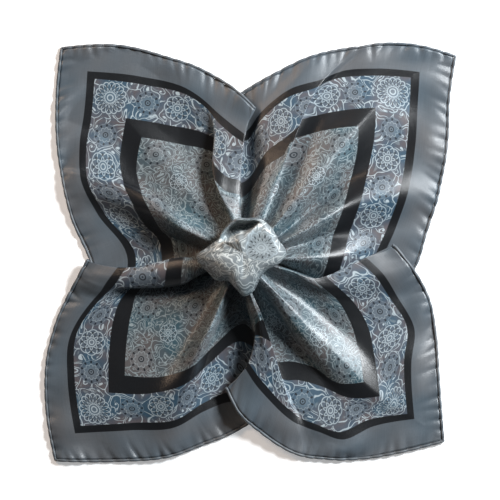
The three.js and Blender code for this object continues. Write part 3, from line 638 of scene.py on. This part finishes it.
class Ink:
    """A number or colour in a node tree, with arithmetic that adds the nodes."""

    def __init__(self, tree, socket):
        self.tree, self.socket = tree, socket

    def op(self, operation, *others, clamp=False, swap=False):
        node = self.tree.nodes.new("ShaderNodeMath")
        node.operation, node.use_clamp = operation, clamp
        values = (*others, self) if swap else (self, *others)
        for socket, value in zip(node.inputs, values):
            feed(self.tree, socket, value)
        return Ink(self.tree, node.outputs[0])

    def __add__(self, other):
        return self.op("ADD", other)

    def __radd__(self, other):
        return self.op("ADD", other)

    def __sub__(self, other):
        return self.op("SUBTRACT", other)

    def __rsub__(self, other):
        return self.op("SUBTRACT", other, swap=True)

    def __mul__(self, other):
        return self.op("MULTIPLY", other)

    def __truediv__(self, other):
        return self.op("DIVIDE", other)

    def __rtruediv__(self, other):
        return self.op("DIVIDE", other, swap=True)

    def abs(self):
        return self.op("ABSOLUTE")

    def sin(self):
        return self.op("SINE")

    def cos(self):
        return self.op("COSINE")

    def wrap(self, period):
        """Distance to the nearest multiple of the period, with its sign."""
        return self - (self / period).op("ROUND") * period

    def over(self, edge, soft):
        """0 below the edge, 1 above it, with a soft step."""
        return ((self - edge) / soft + 0.5).op("ADD", 0.0, clamp=True)

    def under(self, edge, soft):
        return ((edge - self) / soft + 0.5).op("ADD", 0.0, clamp=True)

    def line(self, width, soft):
        """1 within half the width of zero."""
        return self.abs().under(width / 2, soft)


def feed(tree, socket, value):
    if isinstance(value, Ink):
        tree.links.new(value.socket, socket)
    elif isinstance(value, bpy.types.NodeSocket):
        tree.links.new(value, socket)
    else:
        socket.default_value = value


def set_inputs(tree, node, values):
    """Gives each named input of a node its value or its link."""
    for key, value in values.items():
        feed(tree, node.inputs[key], value)


def new_node(tree, kind, inputs=None, **settings):
    node = tree.nodes.new(kind)
    for key, value in settings.items():
        setattr(node, key, value)
    set_inputs(tree, node, inputs or {})
    return node


def length(x, y):
    return (x * x + y * y).op("SQRT")


def blend(tree, share, first, second, kind="MIX"):
    """Mix of two colours by a share from 0 to 1."""
    inputs = {"Factor": share, 6: first, 7: second}
    return new_node(tree, "ShaderNodeMix", inputs, data_type="RGBA", blend_type=kind).outputs[2]


def pick(share, first, second):
    """Mix of two numbers by a share from 0 to 1."""
    return share * (second - first) + first


def noise(tree, vector, scale, detail=1.0):
    inputs = {"Vector": vector, "Scale": scale, "Detail": detail}
    return Ink(tree, new_node(tree, "ShaderNodeTexNoise", inputs).outputs["Fac"])


def add_bump(tree, shader, height, strength, depth):
    """Bump of a shader's surface by a height in the tree."""
    inputs = {"Height": height, "Strength": strength, "Distance": depth}
    bump = new_node(tree, "ShaderNodeBump", inputs)
    tree.links.new(bump.outputs[0], shader.inputs["Normal"])


def new_material(name, finish):
    """Material with its node tree and its Principled shader, whose plain sockets are set."""
    material = bpy.data.materials.new(name)
    material.use_nodes = True
    tree = material.node_tree
    shader = tree.nodes["Principled BSDF"]
    set_inputs(tree, shader, finish)
    return material, tree, shader


def vector_of(tree, x, y):
    return new_node(tree, "ShaderNodeCombineXYZ", {"X": x, "Y": y}).outputs[0]


def parts_of(tree, vector):
    x, y, _ = new_node(tree, "ShaderNodeSeparateXYZ", {0: vector}).outputs
    return Ink(tree, x), Ink(tree, y)


def new_group(name, inputs, outputs):
    """Empty shader node group with named sockets, and its input and output nodes."""
    tree = bpy.data.node_groups.new(name, "ShaderNodeTree")
    for label, kind, value in inputs:
        socket = tree.interface.new_socket(name=label, in_out="INPUT", socket_type=kind)
        if value is not None:
            socket.default_value = value
    for label, kind in outputs:
        tree.interface.new_socket(name=label, in_out="OUTPUT", socket_type=kind)
    return tree, tree.nodes.new("NodeGroupInput"), tree.nodes.new("NodeGroupOutput")


# Places in the print, in millimetres from the middle of the flat square
STRIPE_EDGES = (137.8, 143.5)
FRAME_EDGES = (101.3, 113.4)
BAND_MIDDLE = 125.6
ROSETTE_PITCH = 20.0
FIELD_PITCH = 36.0
CORNER_RADIUS, BAND_RADIUS, FIELD_RADIUS = 11.4, 9.0, 8.0
MIDDLE_REACH = 44.0  # flat radius of the cloth that is pulled up into the bud
PAINTED_HIGHLIGHT_REACH = 20.0  # flat radius of the painted highlight on the face of the bud, where the ground and lines are drawn lighter
MIDDLE_PLACE, MIDDLE_RADIUS = (9.0, 3.0), 8.0  # rosette on the face of the bud
PRINT_SOFT = 0.25  # softness of a printed edge
BAND_EDGE, CORNER_EDGE = 107.0, 112.0  # where the lace band and its corner rosettes start
BAND_SCROLLS, FIELD_SCROLLS = (10.5, 0.50, 13.0), (6.4, 0.42, 31.0)  # cell, line width, seed
SCROLL_SPREAD, SCROLL_TURNS = 0.85, 1.9  # unevenness of the cells, turns of a volute in one
TURN_SQUARED = 39.5  # a whole turn in radians, squared
PATCH, DRIFT, CAST = 1 / 19.0, 1 / 26.0, 1 / 40.0  # how often a ground's colour changes


def flat_place_group():
    """Place on the flat cloth in millimetres, from the cloth's own UV map."""
    tree, entry, leave = new_group(
        "Flat place", [("Side mm", "NodeSocketFloat", 330.0)], [("Place", "NodeSocketVector")]
    )
    u, v = parts_of(tree, new_node(tree, "ShaderNodeUVMap", uv_map=FLAT_MAP).outputs[0])
    side = Ink(tree, entry.outputs["Side mm"])
    place = vector_of(tree, (u - 0.5) * side, (v - 0.5) * side)
    tree.links.new(place, leave.inputs["Place"])
    return tree


def scroll_lines(tree, place, cell, width, seed):
    """Vine scrolls: a volute in each cell, joined by stems along the cells' edges."""
    x, y = parts_of(tree, place)
    sway_scale, sway = 1 / (1.3 * cell), 1.6 * cell  # how often and how far the vines sway
    shift = vector_of(tree, x + seed, y - seed)
    sway_x = noise(tree, shift, sway_scale) - 0.5
    sway_y = noise(tree, vector_of(tree, x - 2 * seed, y + 3 * seed), sway_scale) - 0.5
    bent_x, bent_y = x + sway_x * sway, y + sway_y * sway
    bent = vector_of(tree, bent_x, bent_y)

    def cell_node(feature):
        inputs = {"Vector": bent, "Scale": 1 / cell, "Randomness": SCROLL_SPREAD}
        settings = {"voronoi_dimensions": "2D", "feature": feature}
        return new_node(tree, "ShaderNodeTexVoronoi", inputs, **settings)

    cells = cell_node("F1")
    middle_x, middle_y = parts_of(tree, cells.outputs["Position"])
    away_x, away_y = bent_x - middle_x, bent_y - middle_y
    reach = length(away_x, away_y)
    angle = away_y.op("ARCTAN2", away_x)
    tint = new_node(tree, "ShaderNodeSeparateColor", {0: cells.outputs["Color"]})
    chance = Ink(tree, tint.outputs[0])
    hand = chance.op("GREATER_THAN", 0.5) * 2.0 - 1.0  # half of the volutes turn the other way
    turns = SCROLL_TURNS / cell
    wound = angle * (1 / (2 * math.pi)) * hand + reach * turns + chance * 3.0
    away = wound.wrap(1.0).abs()
    steep = (turns * turns + 1.0 / (reach * reach * TURN_SQUARED + 0.4)).op("SQRT")
    volute = (away / steep).line(width, PRINT_SOFT)
    leaf = ((angle * 3.0 * hand + reach * (7.0 / cell)).sin() - 0.2).over(0.55, 0.25)
    leaf = leaf * reach.over(0.18 * cell, 0.4) * reach.under(0.36 * cell, 0.5)
    gap = Ink(tree, cell_node("DISTANCE_TO_EDGE").outputs["Distance"]) * cell
    stem = gap.line(width, PRINT_SOFT)
    heart = reach.under(0.1 * cell, PRINT_SOFT)
    lines = (volute * gap.over(0.5 * width, 0.4)).op("MAXIMUM", stem)
    return lines.op("MAXIMUM", heart), leaf


def rosette_marks(x, y, radius, petals, dotted):
    """Lace rosette with a lobed rim and a net, or where dotted is 1 one with a dotted rim.

    Gives its pale lines, its dark dots, its soft glow and the reach, 1 at the rim.
    All places and widths here are shares of its radius.
    """
    reach = length(x, y) / radius
    turn = y.op("ARCTAN2", x) * petals
    lobes = (turn * 0.5).cos().abs()

    # The lace one: lobed rim, net of crossing spirals, two rings, and lens and seed shapes
    rim = (reach - (lobes * 0.10 + 0.87)).line(0.060, 0.05)
    twist = reach * 5.2
    first = (turn * 0.5 + twist).sin().abs().under(0.20, 0.22)
    second = (turn * 0.5 - twist).sin().abs().under(0.20, 0.22)
    net = first.op("MAXIMUM", second) * reach.over(0.36, 0.04) * reach.under(0.86, 0.04)
    rings = (reach - 0.33).line(0.05, 0.05).op("MAXIMUM", (reach - 0.17).line(0.06, 0.05))
    lace = rim.op("MAXIMUM", net).op("MAXIMUM", rings)
    around = (turn + math.pi / 2).sin()
    lens = length(reach - 0.70, (1.0 - around) * 0.22).under(0.100, 0.06)
    seed = length(reach - 0.50, (1.0 + around) * 0.20).under(0.060, 0.06)
    lace_dots = lens.op("MAXIMUM", seed) * 0.8

    # The dotted one: loops, scallops, a dot in each petal, a ring and an eye
    loops = (reach - (lobes * 0.16 + 0.50)).line(0.05, 0.06) * 0.55
    scallops = (reach - (lobes * 0.08 + 0.92)).line(0.05, 0.06) * 0.30
    dots = length(reach - 0.84, (1.0 - around) * 0.30).under(0.115, 0.06)
    ring = (reach - 0.21).line(0.090, 0.05)
    eye = reach.under(0.070, 0.05)
    dark = pick(dotted, lace_dots, dots.op("MAXIMUM", ring).op("MAXIMUM", eye))
    pale = pick(dotted, lace * 0.85, loops.op("MAXIMUM", scallops))
    glow = reach.under(0.60, 0.9) * pick(dotted, 0.20, 0.38)
    inside = reach.under(1.0, 0.05)
    return pale * inside, dark * inside, glow, reach


def square_print_group(colours):
    """The whole print: stripes, lace band, rosettes and scrollwork, with a painted highlight on the
    bud's face, as one colour.
    """
    swatches = [
        (key.replace("_", " ").capitalize(), "NodeSocketColor", (*getattr(colours, key), 1.0))
        for key in PrintColours.__annotations__
        if key != "thread"
    ]
    tree, entry, leave = new_group(
        "Square print",
        [("Place", "NodeSocketVector", None)] + swatches,
        [("Color", "NodeSocketColor"), ("Gloss", "NodeSocketFloat")],
    )
    place = entry.outputs["Place"]
    colour = {name: entry.outputs[name] for name, _, _ in swatches}
    x, y = parts_of(tree, place)
    a, b = x.abs(), y.abs()
    outer, inner = a.op("MAXIMUM", b), a.op("MINIMUM", b)

    # The nearest rosette of the corner, band, field or bud: its place, size, petals and kind
    in_band = outer.over(BAND_EDGE, 0.1)
    in_corner = inner.over(CORNER_EDGE, 0.1)
    in_middle = length(x, y).under(MIDDLE_REACH, 0.1)
    count = (inner / ROSETTE_PITCH).op("ROUND")
    odd = (count * 0.5).wrap(1.0).abs() * 2.0
    band_x, band_y = inner - count * ROSETTE_PITCH, outer - BAND_MIDDLE
    corner_x, corner_y = a - BAND_MIDDLE, b - BAND_MIDDLE
    one_x, one_y = x.wrap(FIELD_PITCH), y.wrap(FIELD_PITCH)
    half = FIELD_PITCH / 2
    two_x, two_y = (x - half).wrap(FIELD_PITCH), (y - half).wrap(FIELD_PITCH)
    second = (length(two_x, two_y) - length(one_x, one_y)).under(0.0, 0.02)
    middle_x, middle_y = x - MIDDLE_PLACE[0], y - MIDDLE_PLACE[1]
    local_x = pick(in_corner, pick(in_band, pick(second, one_x, two_x), band_x), corner_x)
    local_y = pick(in_corner, pick(in_band, pick(second, one_y, two_y), band_y), corner_y)
    local_x, local_y = pick(in_middle, local_x, middle_x), pick(in_middle, local_y, middle_y)
    radius = pick(in_band, second * 1.4 + (FIELD_RADIUS - 1.4), BAND_RADIUS - odd)
    radius = pick(in_middle, pick(in_corner, radius, CORNER_RADIUS), MIDDLE_RADIUS)
    petals = pick(in_corner, pick(in_band, second * 2.0 + 8.0, odd * 2.0 + 8.0), 16.0)
    petals = pick(in_middle, petals, 14.0)
    dotted = pick(in_band, second, odd) * (1.0 - in_corner) * (1.0 - in_middle)
    pale, dark, glow, reach = rosette_marks(local_x, local_y, radius, petals, dotted)
    clear = reach.over(1.04, 0.08)

    band_vines, band_leaf = scroll_lines(tree, place, *BAND_SCROLLS)
    field_vines, field_leaf = scroll_lines(tree, place, *FIELD_SCROLLS)

    # The grounds, each under its leaves and vines, then the rosettes and the plain stripes
    patch = noise(tree, place, PATCH).over(0.5, 0.22)
    halo = reach.under(1.15, 0.5)
    band = blend(tree, patch.op("MAXIMUM", halo * 0.6), colour["Band mauve"], colour["Band blue"])
    band = blend(tree, band_leaf * clear * 0.35, band, colour["Scroll"])
    band = blend(tree, band_vines * clear * 0.80, band, colour["Lace"])
    drift = noise(tree, place, DRIFT, 2.0).over(0.52, 0.25)
    # Painted highlight: within this flat radius of the bud's raised face, the ground and the vine
    # lines are drawn lighter for the light that the face catches
    light = length(x, y).under(PAINTED_HIGHLIGHT_REACH, 10.0)
    field = blend(tree, drift, colour["Field"], colour["Field cool"])
    field = blend(tree, light, field, colour["Middle"])
    vine = blend(tree, light, colour["Scroll"], colour["Middle lace"])
    field = blend(tree, field_leaf * clear * 0.50, field, vine)
    field = blend(tree, field_vines * clear, field, vine)
    printed = blend(tree, in_band, field, band)
    printed = blend(tree, glow * 0.5, printed, colour["Lace"])
    printed = blend(tree, pale, printed, colour["Lace"])
    printed = blend(tree, dark, printed, colour["Dots"])
    cast = noise(tree, place, CAST, 2.0).over(0.5, 0.35)
    border = blend(tree, cast, colour["Border"], colour["Border cool"])
    on_border = outer.over(STRIPE_EDGES[0], PRINT_SOFT)
    printed = blend(tree, on_border, printed, border)
    thin = outer.over(STRIPE_EDGES[0], PRINT_SOFT) * outer.under(STRIPE_EDGES[1], PRINT_SOFT)
    wide = outer.over(FRAME_EDGES[0], PRINT_SOFT) * outer.under(FRAME_EDGES[1], PRINT_SOFT)
    stripes = thin.op("MAXIMUM", wide)
    printed = blend(tree, stripes, printed, colour["Stripe"])
    tree.links.new(printed, leave.inputs["Color"])
    feed(tree, leave.inputs["Gloss"], stripes)
    return tree


def silk_weave_group():
    """Twill ribs and slubs of the silk: a height, and a tint about 1."""
    tree, entry, leave = new_group(
        "Silk weave",
        [("Place", "NodeSocketVector", None), ("Rib mm", "NodeSocketFloat", 0.45)],
        [("Height", "NodeSocketFloat"), ("Tint", "NodeSocketFloat")],
    )
    place = entry.outputs["Place"]
    x, y = parts_of(tree, place)
    rib = Ink(tree, entry.outputs["Rib mm"])
    twill = ((x + y) * (2 * math.pi) / rib).sin() * 0.5
    yarn = ((x - y * 0.25) * (4 * math.pi) / rib).sin() * 0.2
    slub = noise(tree, vector_of(tree, x * 1.1, y * 0.06), 1.0, 2.0) - 0.5
    cross = noise(tree, vector_of(tree, x * 0.06, y * 1.1), 1.0, 2.0) - 0.5
    feed(tree, leave.inputs["Height"], twill + yarn + slub)
    feed(tree, leave.inputs["Tint"], slub * 0.30 + cross * 0.15 + 1.0)
    return tree


def silk_material(name, sizes, border_shade_share, dullness, print_tree, weave_tree, place_tree):
    """Satin silk with the print, its border darkened by painted shade and its gloss dulled as the
    piece needs.
    """
    material, tree, silk = new_material(name, SATIN)

    def group(of, inputs):
        return new_node(tree, "ShaderNodeGroup", inputs, node_tree=of)

    place = group(place_tree, {"Side mm": sizes.side / MM}).outputs[0]
    printed, weave = group(print_tree, {"Place": place}), group(weave_tree, {"Place": place})
    # Painted shade: the border colours are darkened by the piece's share, for the shade round the
    # rolled hems
    for key in ("Border", "Border cool"):
        shade = [part * border_shade_share for part in printed.inputs[key].default_value[:3]]
        printed.inputs[key].default_value = (*shade, 1.0)
    colour, tint = printed.outputs["Color"], weave.outputs["Tint"]
    feed(tree, silk.inputs["Base Color"], blend(tree, 1.0, colour, tint, "MULTIPLY"))
    rough = Ink(tree, printed.outputs["Gloss"]) * -STRIPE_GLOSS + dullness
    feed(tree, silk.inputs["Roughness"], rough)
    add_bump(tree, silk, weave.outputs["Height"], *WEAVE_BUMP)
    return material


WORK = {}  # what more than one operator needs


def shared_cloth(context):
    """The folded cloth, worked out once for the pieces that need it."""
    if "folded" not in WORK:
        WORK["folded"] = FoldedCloth(context.scene.cloth_sizes)
    return WORK["folded"]


def silk_finish(context, name):
    """The silk as a material of its own name, from one set of node groups."""
    if "trees" not in WORK:
        colours = context.scene.print_colours
        WORK["trees"] = square_print_group(colours), silk_weave_group(), flat_place_group()
    if name not in WORK:
        sizes = context.scene.cloth_sizes
        WORK[name] = silk_material(name, sizes, *SILKS[name], *WORK["trees"])
    return WORK[name]


class SQUARE_OT_sheet(bpy.types.Operator):
    """Make the folded silk sheet with its petals, neck and bud"""

    bl_idname = "square.sheet"
    bl_label = "Silk Sheet"

    def execute(self, context):
        sizes = context.scene.cloth_sizes
        cloth = shared_cloth(context)
        points, faces = walled(cloth.points, cloth.faces, cloth.rim, sizes.wall)
        flat = np.concatenate([cloth.flat, cloth.flat])
        piece = new_mesh_object("printed_silk_sheet", points, faces, flat, sizes.side)
        piece.data.materials.append(silk_finish(context, "Printed silk"))
        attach(piece, BODY)
        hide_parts("silk_sheet")
        return {"FINISHED"}


def tube(path, flat, radii, sides=HEM_SIDES):
    """Closed tube along a path, with rounded ends and a flat place for each point."""
    along = np.gradient(path, axis=0)
    along /= np.linalg.norm(along, axis=1)[:, None]
    across = np.cross([0.0, 0.0, 1.0], along)
    across /= np.maximum(np.linalg.norm(across, axis=1), TINY)[:, None]
    rise = np.cross(along, across)
    turns = np.arange(sides) * 2 * math.pi / sides
    wide, tall = np.cos(turns)[None, :, None], np.sin(turns)[None, :, None]
    ring = across[:, None] * wide + rise[:, None] * tall
    points = (path[:, None] + ring * radii[:, None, None]).reshape(-1, 3)
    faces = []
    for i in range(len(path) - 1):
        for k in range(sides):
            a, b = i * sides + k, i * sides + (k + 1) % sides
            faces += [(a, b, b + sides), (a, b + sides, a + sides)]
    bulge = along * radii[:, None] * HEM_END
    ends = np.array([path[0] - bulge[0], path[-1] + bulge[-1]])
    first, last, base = len(points), len(points) + 1, (len(path) - 1) * sides
    for k in range(sides):
        after = (k + 1) % sides
        faces += [(first, after, k), (last, base + k, base + after)]
    points = np.concatenate([points, ends])
    flat = np.concatenate([np.repeat(flat, sides, axis=0), flat[:1], flat[-1:]])
    return points, np.array(faces), flat


class SQUARE_OT_hems(bpy.types.Operator):
    """Make the four rolled hems, pinched at each stitch"""

    bl_idname = "square.hems"
    bl_label = "Rolled Hems"

    def execute(self, context):
        sizes = context.scene.cloth_sizes
        cloth = shared_cloth(context)
        start = 0
        total = len(cloth.hem_line)
        for (name, _, _), count in zip(SIDES, cloth.side_counts):
            index = np.arange(start, start + count + 1) % total
            start += count
            path, flat = cloth.hem_line[index], cloth.hem_flat[index]
            _, away, _ = cloth.near_stitch(flat)
            radii = sizes.hem / 2 * (1 - STITCH_BITE * np.exp(-((away / BITE_LENGTH) ** 2)))
            points, faces, places = tube(path, flat, radii)
            points[:, 2] = np.maximum(points[:, 2], 0)
            piece = new_mesh_object("rolled_hem_" + name, points, faces, places, sizes.side)
            piece.data.materials.append(silk_finish(context, "Rolled silk"))
            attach(piece, BODY)
            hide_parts("hem_" + name)
        return {"FINISHED"}


def stitch_tree():
    """Geometry nodes that lay an arch of thread over the hem at each of its points."""
    tree = bpy.data.node_groups.new("Hem stitches", "GeometryNodeTree")
    for name, kind in (
        ("Places", "Geometry"),
        ("Roll radius", "Float"),
        ("Thread radius", "Float"),
        ("Slant", "Float"),
        ("Seed", "Int"),
        ("Finish", "Material"),
    ):
        tree.interface.new_socket(name, in_out="INPUT", socket_type="NodeSocket" + kind)
    tree.interface.new_socket("Thread", in_out="OUTPUT", socket_type="NodeSocketGeometry")

    def node(kind, inputs=None, **settings):
        return new_node(tree, kind, inputs, **settings).outputs

    entry = node("NodeGroupInput")
    arch = {
        "Resolution": ARCH_POINTS,
        "Radius": entry["Roll radius"],
        "Start Angle": math.radians(90 - STITCH_SWEEP / 2),
        "Sweep Angle": math.radians(STITCH_SWEEP),
    }
    section = {"Resolution": THREAD_SIDES, "Radius": entry["Thread radius"]}
    thread = {
        "Curve": node("GeometryNodeCurveArc", arch)["Curve"],
        "Profile Curve": node("GeometryNodeCurvePrimitiveCircle", section)["Curve"],
        "Fill Caps": True,
    }
    thread = node("GeometryNodeCurveToMesh", thread)["Mesh"]
    along, up = (
        node("GeometryNodeInputNamedAttribute", {"Name": name}, data_type="FLOAT_VECTOR")
        for name in ("along", "up")
    )
    align = "FunctionNodeAlignRotationToVector"
    square = node(align, {"Vector": along["Attribute"]}, axis="Z")["Rotation"]
    upright = {"Rotation": square, "Vector": up["Attribute"]}
    upright = node(align, upright, axis="Y", pivot_axis="Z")["Rotation"]
    uneven = {2: SLANT_RANGE[0], 3: SLANT_RANGE[1], "Seed": entry["Seed"]}
    uneven = node("FunctionNodeRandomValue", uneven, data_type="FLOAT")[1]
    lean = node("ShaderNodeMath", {0: entry["Slant"], 1: uneven}, operation="MULTIPLY")[0]
    slanted = {"Rotation": upright, "Rotate By": node("ShaderNodeCombineXYZ", {"Y": lean})[0]}
    slanted = node("FunctionNodeRotateRotation", slanted, rotation_space="LOCAL")["Rotation"]
    points = node("GeometryNodeMeshToPoints", {"Mesh": entry["Places"]})["Points"]
    placed = {"Points": points, "Instance": thread, "Rotation": slanted}
    placed = node("GeometryNodeInstanceOnPoints", placed)["Instances"]
    solid = node("GeometryNodeRealizeInstances", {"Geometry": placed})["Geometry"]
    finished = {"Geometry": solid, "Material": entry["Finish"]}
    node("NodeGroupOutput", {"Thread": node("GeometryNodeSetMaterial", finished)["Geometry"]})
    return tree


def thread_material(colour):
    """Twisted silk thread, a little lighter and darker along its ply."""
    material, tree, silk = new_material("Sewing thread", {})
    place = new_node(tree, "ShaderNodeTexCoord").outputs["Object"]
    ply = noise(tree, place, PLY_SCALE)
    light = tuple(min(part * PLY_LIGHT, 1.0) for part in colour)
    feed(tree, silk.inputs["Base Color"], blend(tree, ply, (*colour, 1.0), (*light, 1.0)))
    feed(tree, silk.inputs["Roughness"], ply * PLY_DULLER + PLY_ROUGHNESS)
    add_bump(tree, silk, ply, *PLY_BUMP)
    return material


def stitch_places(cloth):
    """Places of the stitches on the hem's middle line, its direction there, and up."""
    number, away, _ = cloth.near_stitch(cloth.hem_flat)
    line = cloth.hem_line
    along = np.roll(line, -1, axis=0) - np.roll(line, 1, axis=0)
    along /= np.maximum(np.linalg.norm(along, axis=1), TINY)[:, None]
    chosen = []
    for one in np.unique(number):
        near = np.flatnonzero(number == one)
        chosen.append(near[np.argmin(np.abs(away[near]))])
    chosen = np.array(chosen)
    up = np.array([0.0, 0.0, 1.0]) - along[chosen] * along[chosen, 2:]
    return line[chosen], along[chosen], up


class SQUARE_OT_stitches(bpy.types.Operator):
    """Sew the hems with a slanted stitch at each pinch"""

    bl_idname = "square.stitches"
    bl_label = "Hem Stitches"

    def execute(self, context):
        scene = context.scene
        sizes = scene.cloth_sizes
        places, along, up = stitch_places(shared_cloth(context))
        mesh = bpy.data.meshes.new("stitch_places")
        mesh.from_pydata(places.tolist(), [], [])
        for name, values in (("along", along), ("up", up)):
            layer = mesh.attributes.new(name, "FLOAT_VECTOR", "POINT")
            layer.data.foreach_set("vector", values.ravel())
        holder = link_object("stitch_places", mesh)
        tree = stitch_tree()
        inputs = {
            "Roll radius": sizes.hem / 2 * (1 - STITCH_BITE) + sizes.thread * STITCH_SINK,
            "Thread radius": sizes.thread / 2,
            "Slant": sizes.stitch_slant,
            "Seed": sizes.seed,
            "Finish": thread_material(scene.print_colours.thread),
        }
        modifier = holder.modifiers.new("Stitches", "NODES")
        modifier.node_group = tree
        for item in tree.interface.items_tree:
            if item.name in inputs:
                modifier[item.identifier] = inputs[item.name]
        graph = context.evaluated_depsgraph_get()
        sewn = bpy.data.meshes.new_from_object(holder.evaluated_get(graph))
        bpy.data.objects.remove(holder)
        piece = link_object("hem_stitches", sewn)
        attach(piece, BODY)
        return {"FINISHED"}


class SQUARE_OT_stage(bpy.types.Operator):
    """Set the floor, the lights and the camera"""

    bl_idname = "square.stage"
    bl_label = "Stage"

    def execute(self, context):
        scene = context.scene
        stage = scene.stage_settings
        half = stage.floor_side / 2
        mesh = bpy.data.meshes.new("floor")
        corners = [(-half, -half, 0), (half, -half, 0), (half, half, 0), (-half, half, 0)]
        mesh.from_pydata(corners, [], [(0, 1, 2, 3)])
        floor = link_object("floor", mesh)
        colours = {"Base Color": (*stage.floor, 1.0)}
        mesh.materials.append(new_material("Pale floor", {**FLOOR_FINISH, **colours})[0])
        for name, colour, power, size, place in LIGHTS:
            light = bpy.data.lights.new(name, "AREA")
            light.color, light.energy, light.size = colour, power, size
            lamp = link_object(name, light)
            lamp.location = place
            lamp.rotation_mode = "QUATERNION"
            lamp.rotation_quaternion = (-lamp.location).to_track_quat("-Z", "Y")
        world = bpy.data.worlds.new("Pale room")
        world.use_nodes = True
        room = {"Color": ROOM_COLOUR, "Strength": ROOM_STRENGTH}
        set_inputs(world.node_tree, world.node_tree.nodes["Background"], room)
        scene.world = world
        scene.view_settings.view_transform = "Standard"
        camera = bpy.data.cameras.new("camera")
        camera.lens = camera.sensor_width * stage.camera_height / stage.view_width
        camera.clip_end = VIEW_END
        eye = link_object("camera", camera)
        eye.location = (*VIEW_MIDDLE, stage.camera_height)
        scene.camera = eye
        return {"FINISHED"}


class SQUARE_PT_panel(bpy.types.Panel):
    """Builds the pocket square piece by piece"""

    bl_label = "Pocket Square"
    bl_idname = "SQUARE_PT_panel"
    bl_space_type = "VIEW_3D"
    bl_region_type = "UI"
    bl_category = "Pocket Square"

    def draw(self, context):
        for operator in OPERATORS:
            self.layout.operator(operator.bl_idname)
        scene = context.scene
        for group in (scene.cloth_sizes, scene.print_colours, scene.stage_settings):
            box = self.layout.box()
            for key in group.__annotations__:
                box.prop(group, key)


OPERATORS = (SQUARE_OT_sheet, SQUARE_OT_hems, SQUARE_OT_stitches, SQUARE_OT_stage)
CLASSES = (ClothSizes, PrintColours, StageSettings, *OPERATORS, SQUARE_PT_panel)


def register():
    for cls in CLASSES:
        bpy.utils.register_class(cls)
    bpy.types.Scene.cloth_sizes = PointerProperty(type=ClothSizes)
    bpy.types.Scene.print_colours = PointerProperty(type=PrintColours)
    bpy.types.Scene.stage_settings = PointerProperty(type=StageSettings)


def unregister():
    for key in ("cloth_sizes", "print_colours", "stage_settings"):
        delattr(bpy.types.Scene, key)
    for cls in reversed(CLASSES):
        bpy.utils.unregister_class(cls)


def main():
    register()
    bpy.ops.square.sheet()
    bpy.ops.square.hems()
    bpy.ops.square.stitches()
    bpy.ops.square.stage()
    edges = [bpy.data.objects["rolled_hem_" + name] for name, _, _ in SIDES]
    edges.append(bpy.data.objects["hem_stitches"])


if __name__ == "__main__":
    main()
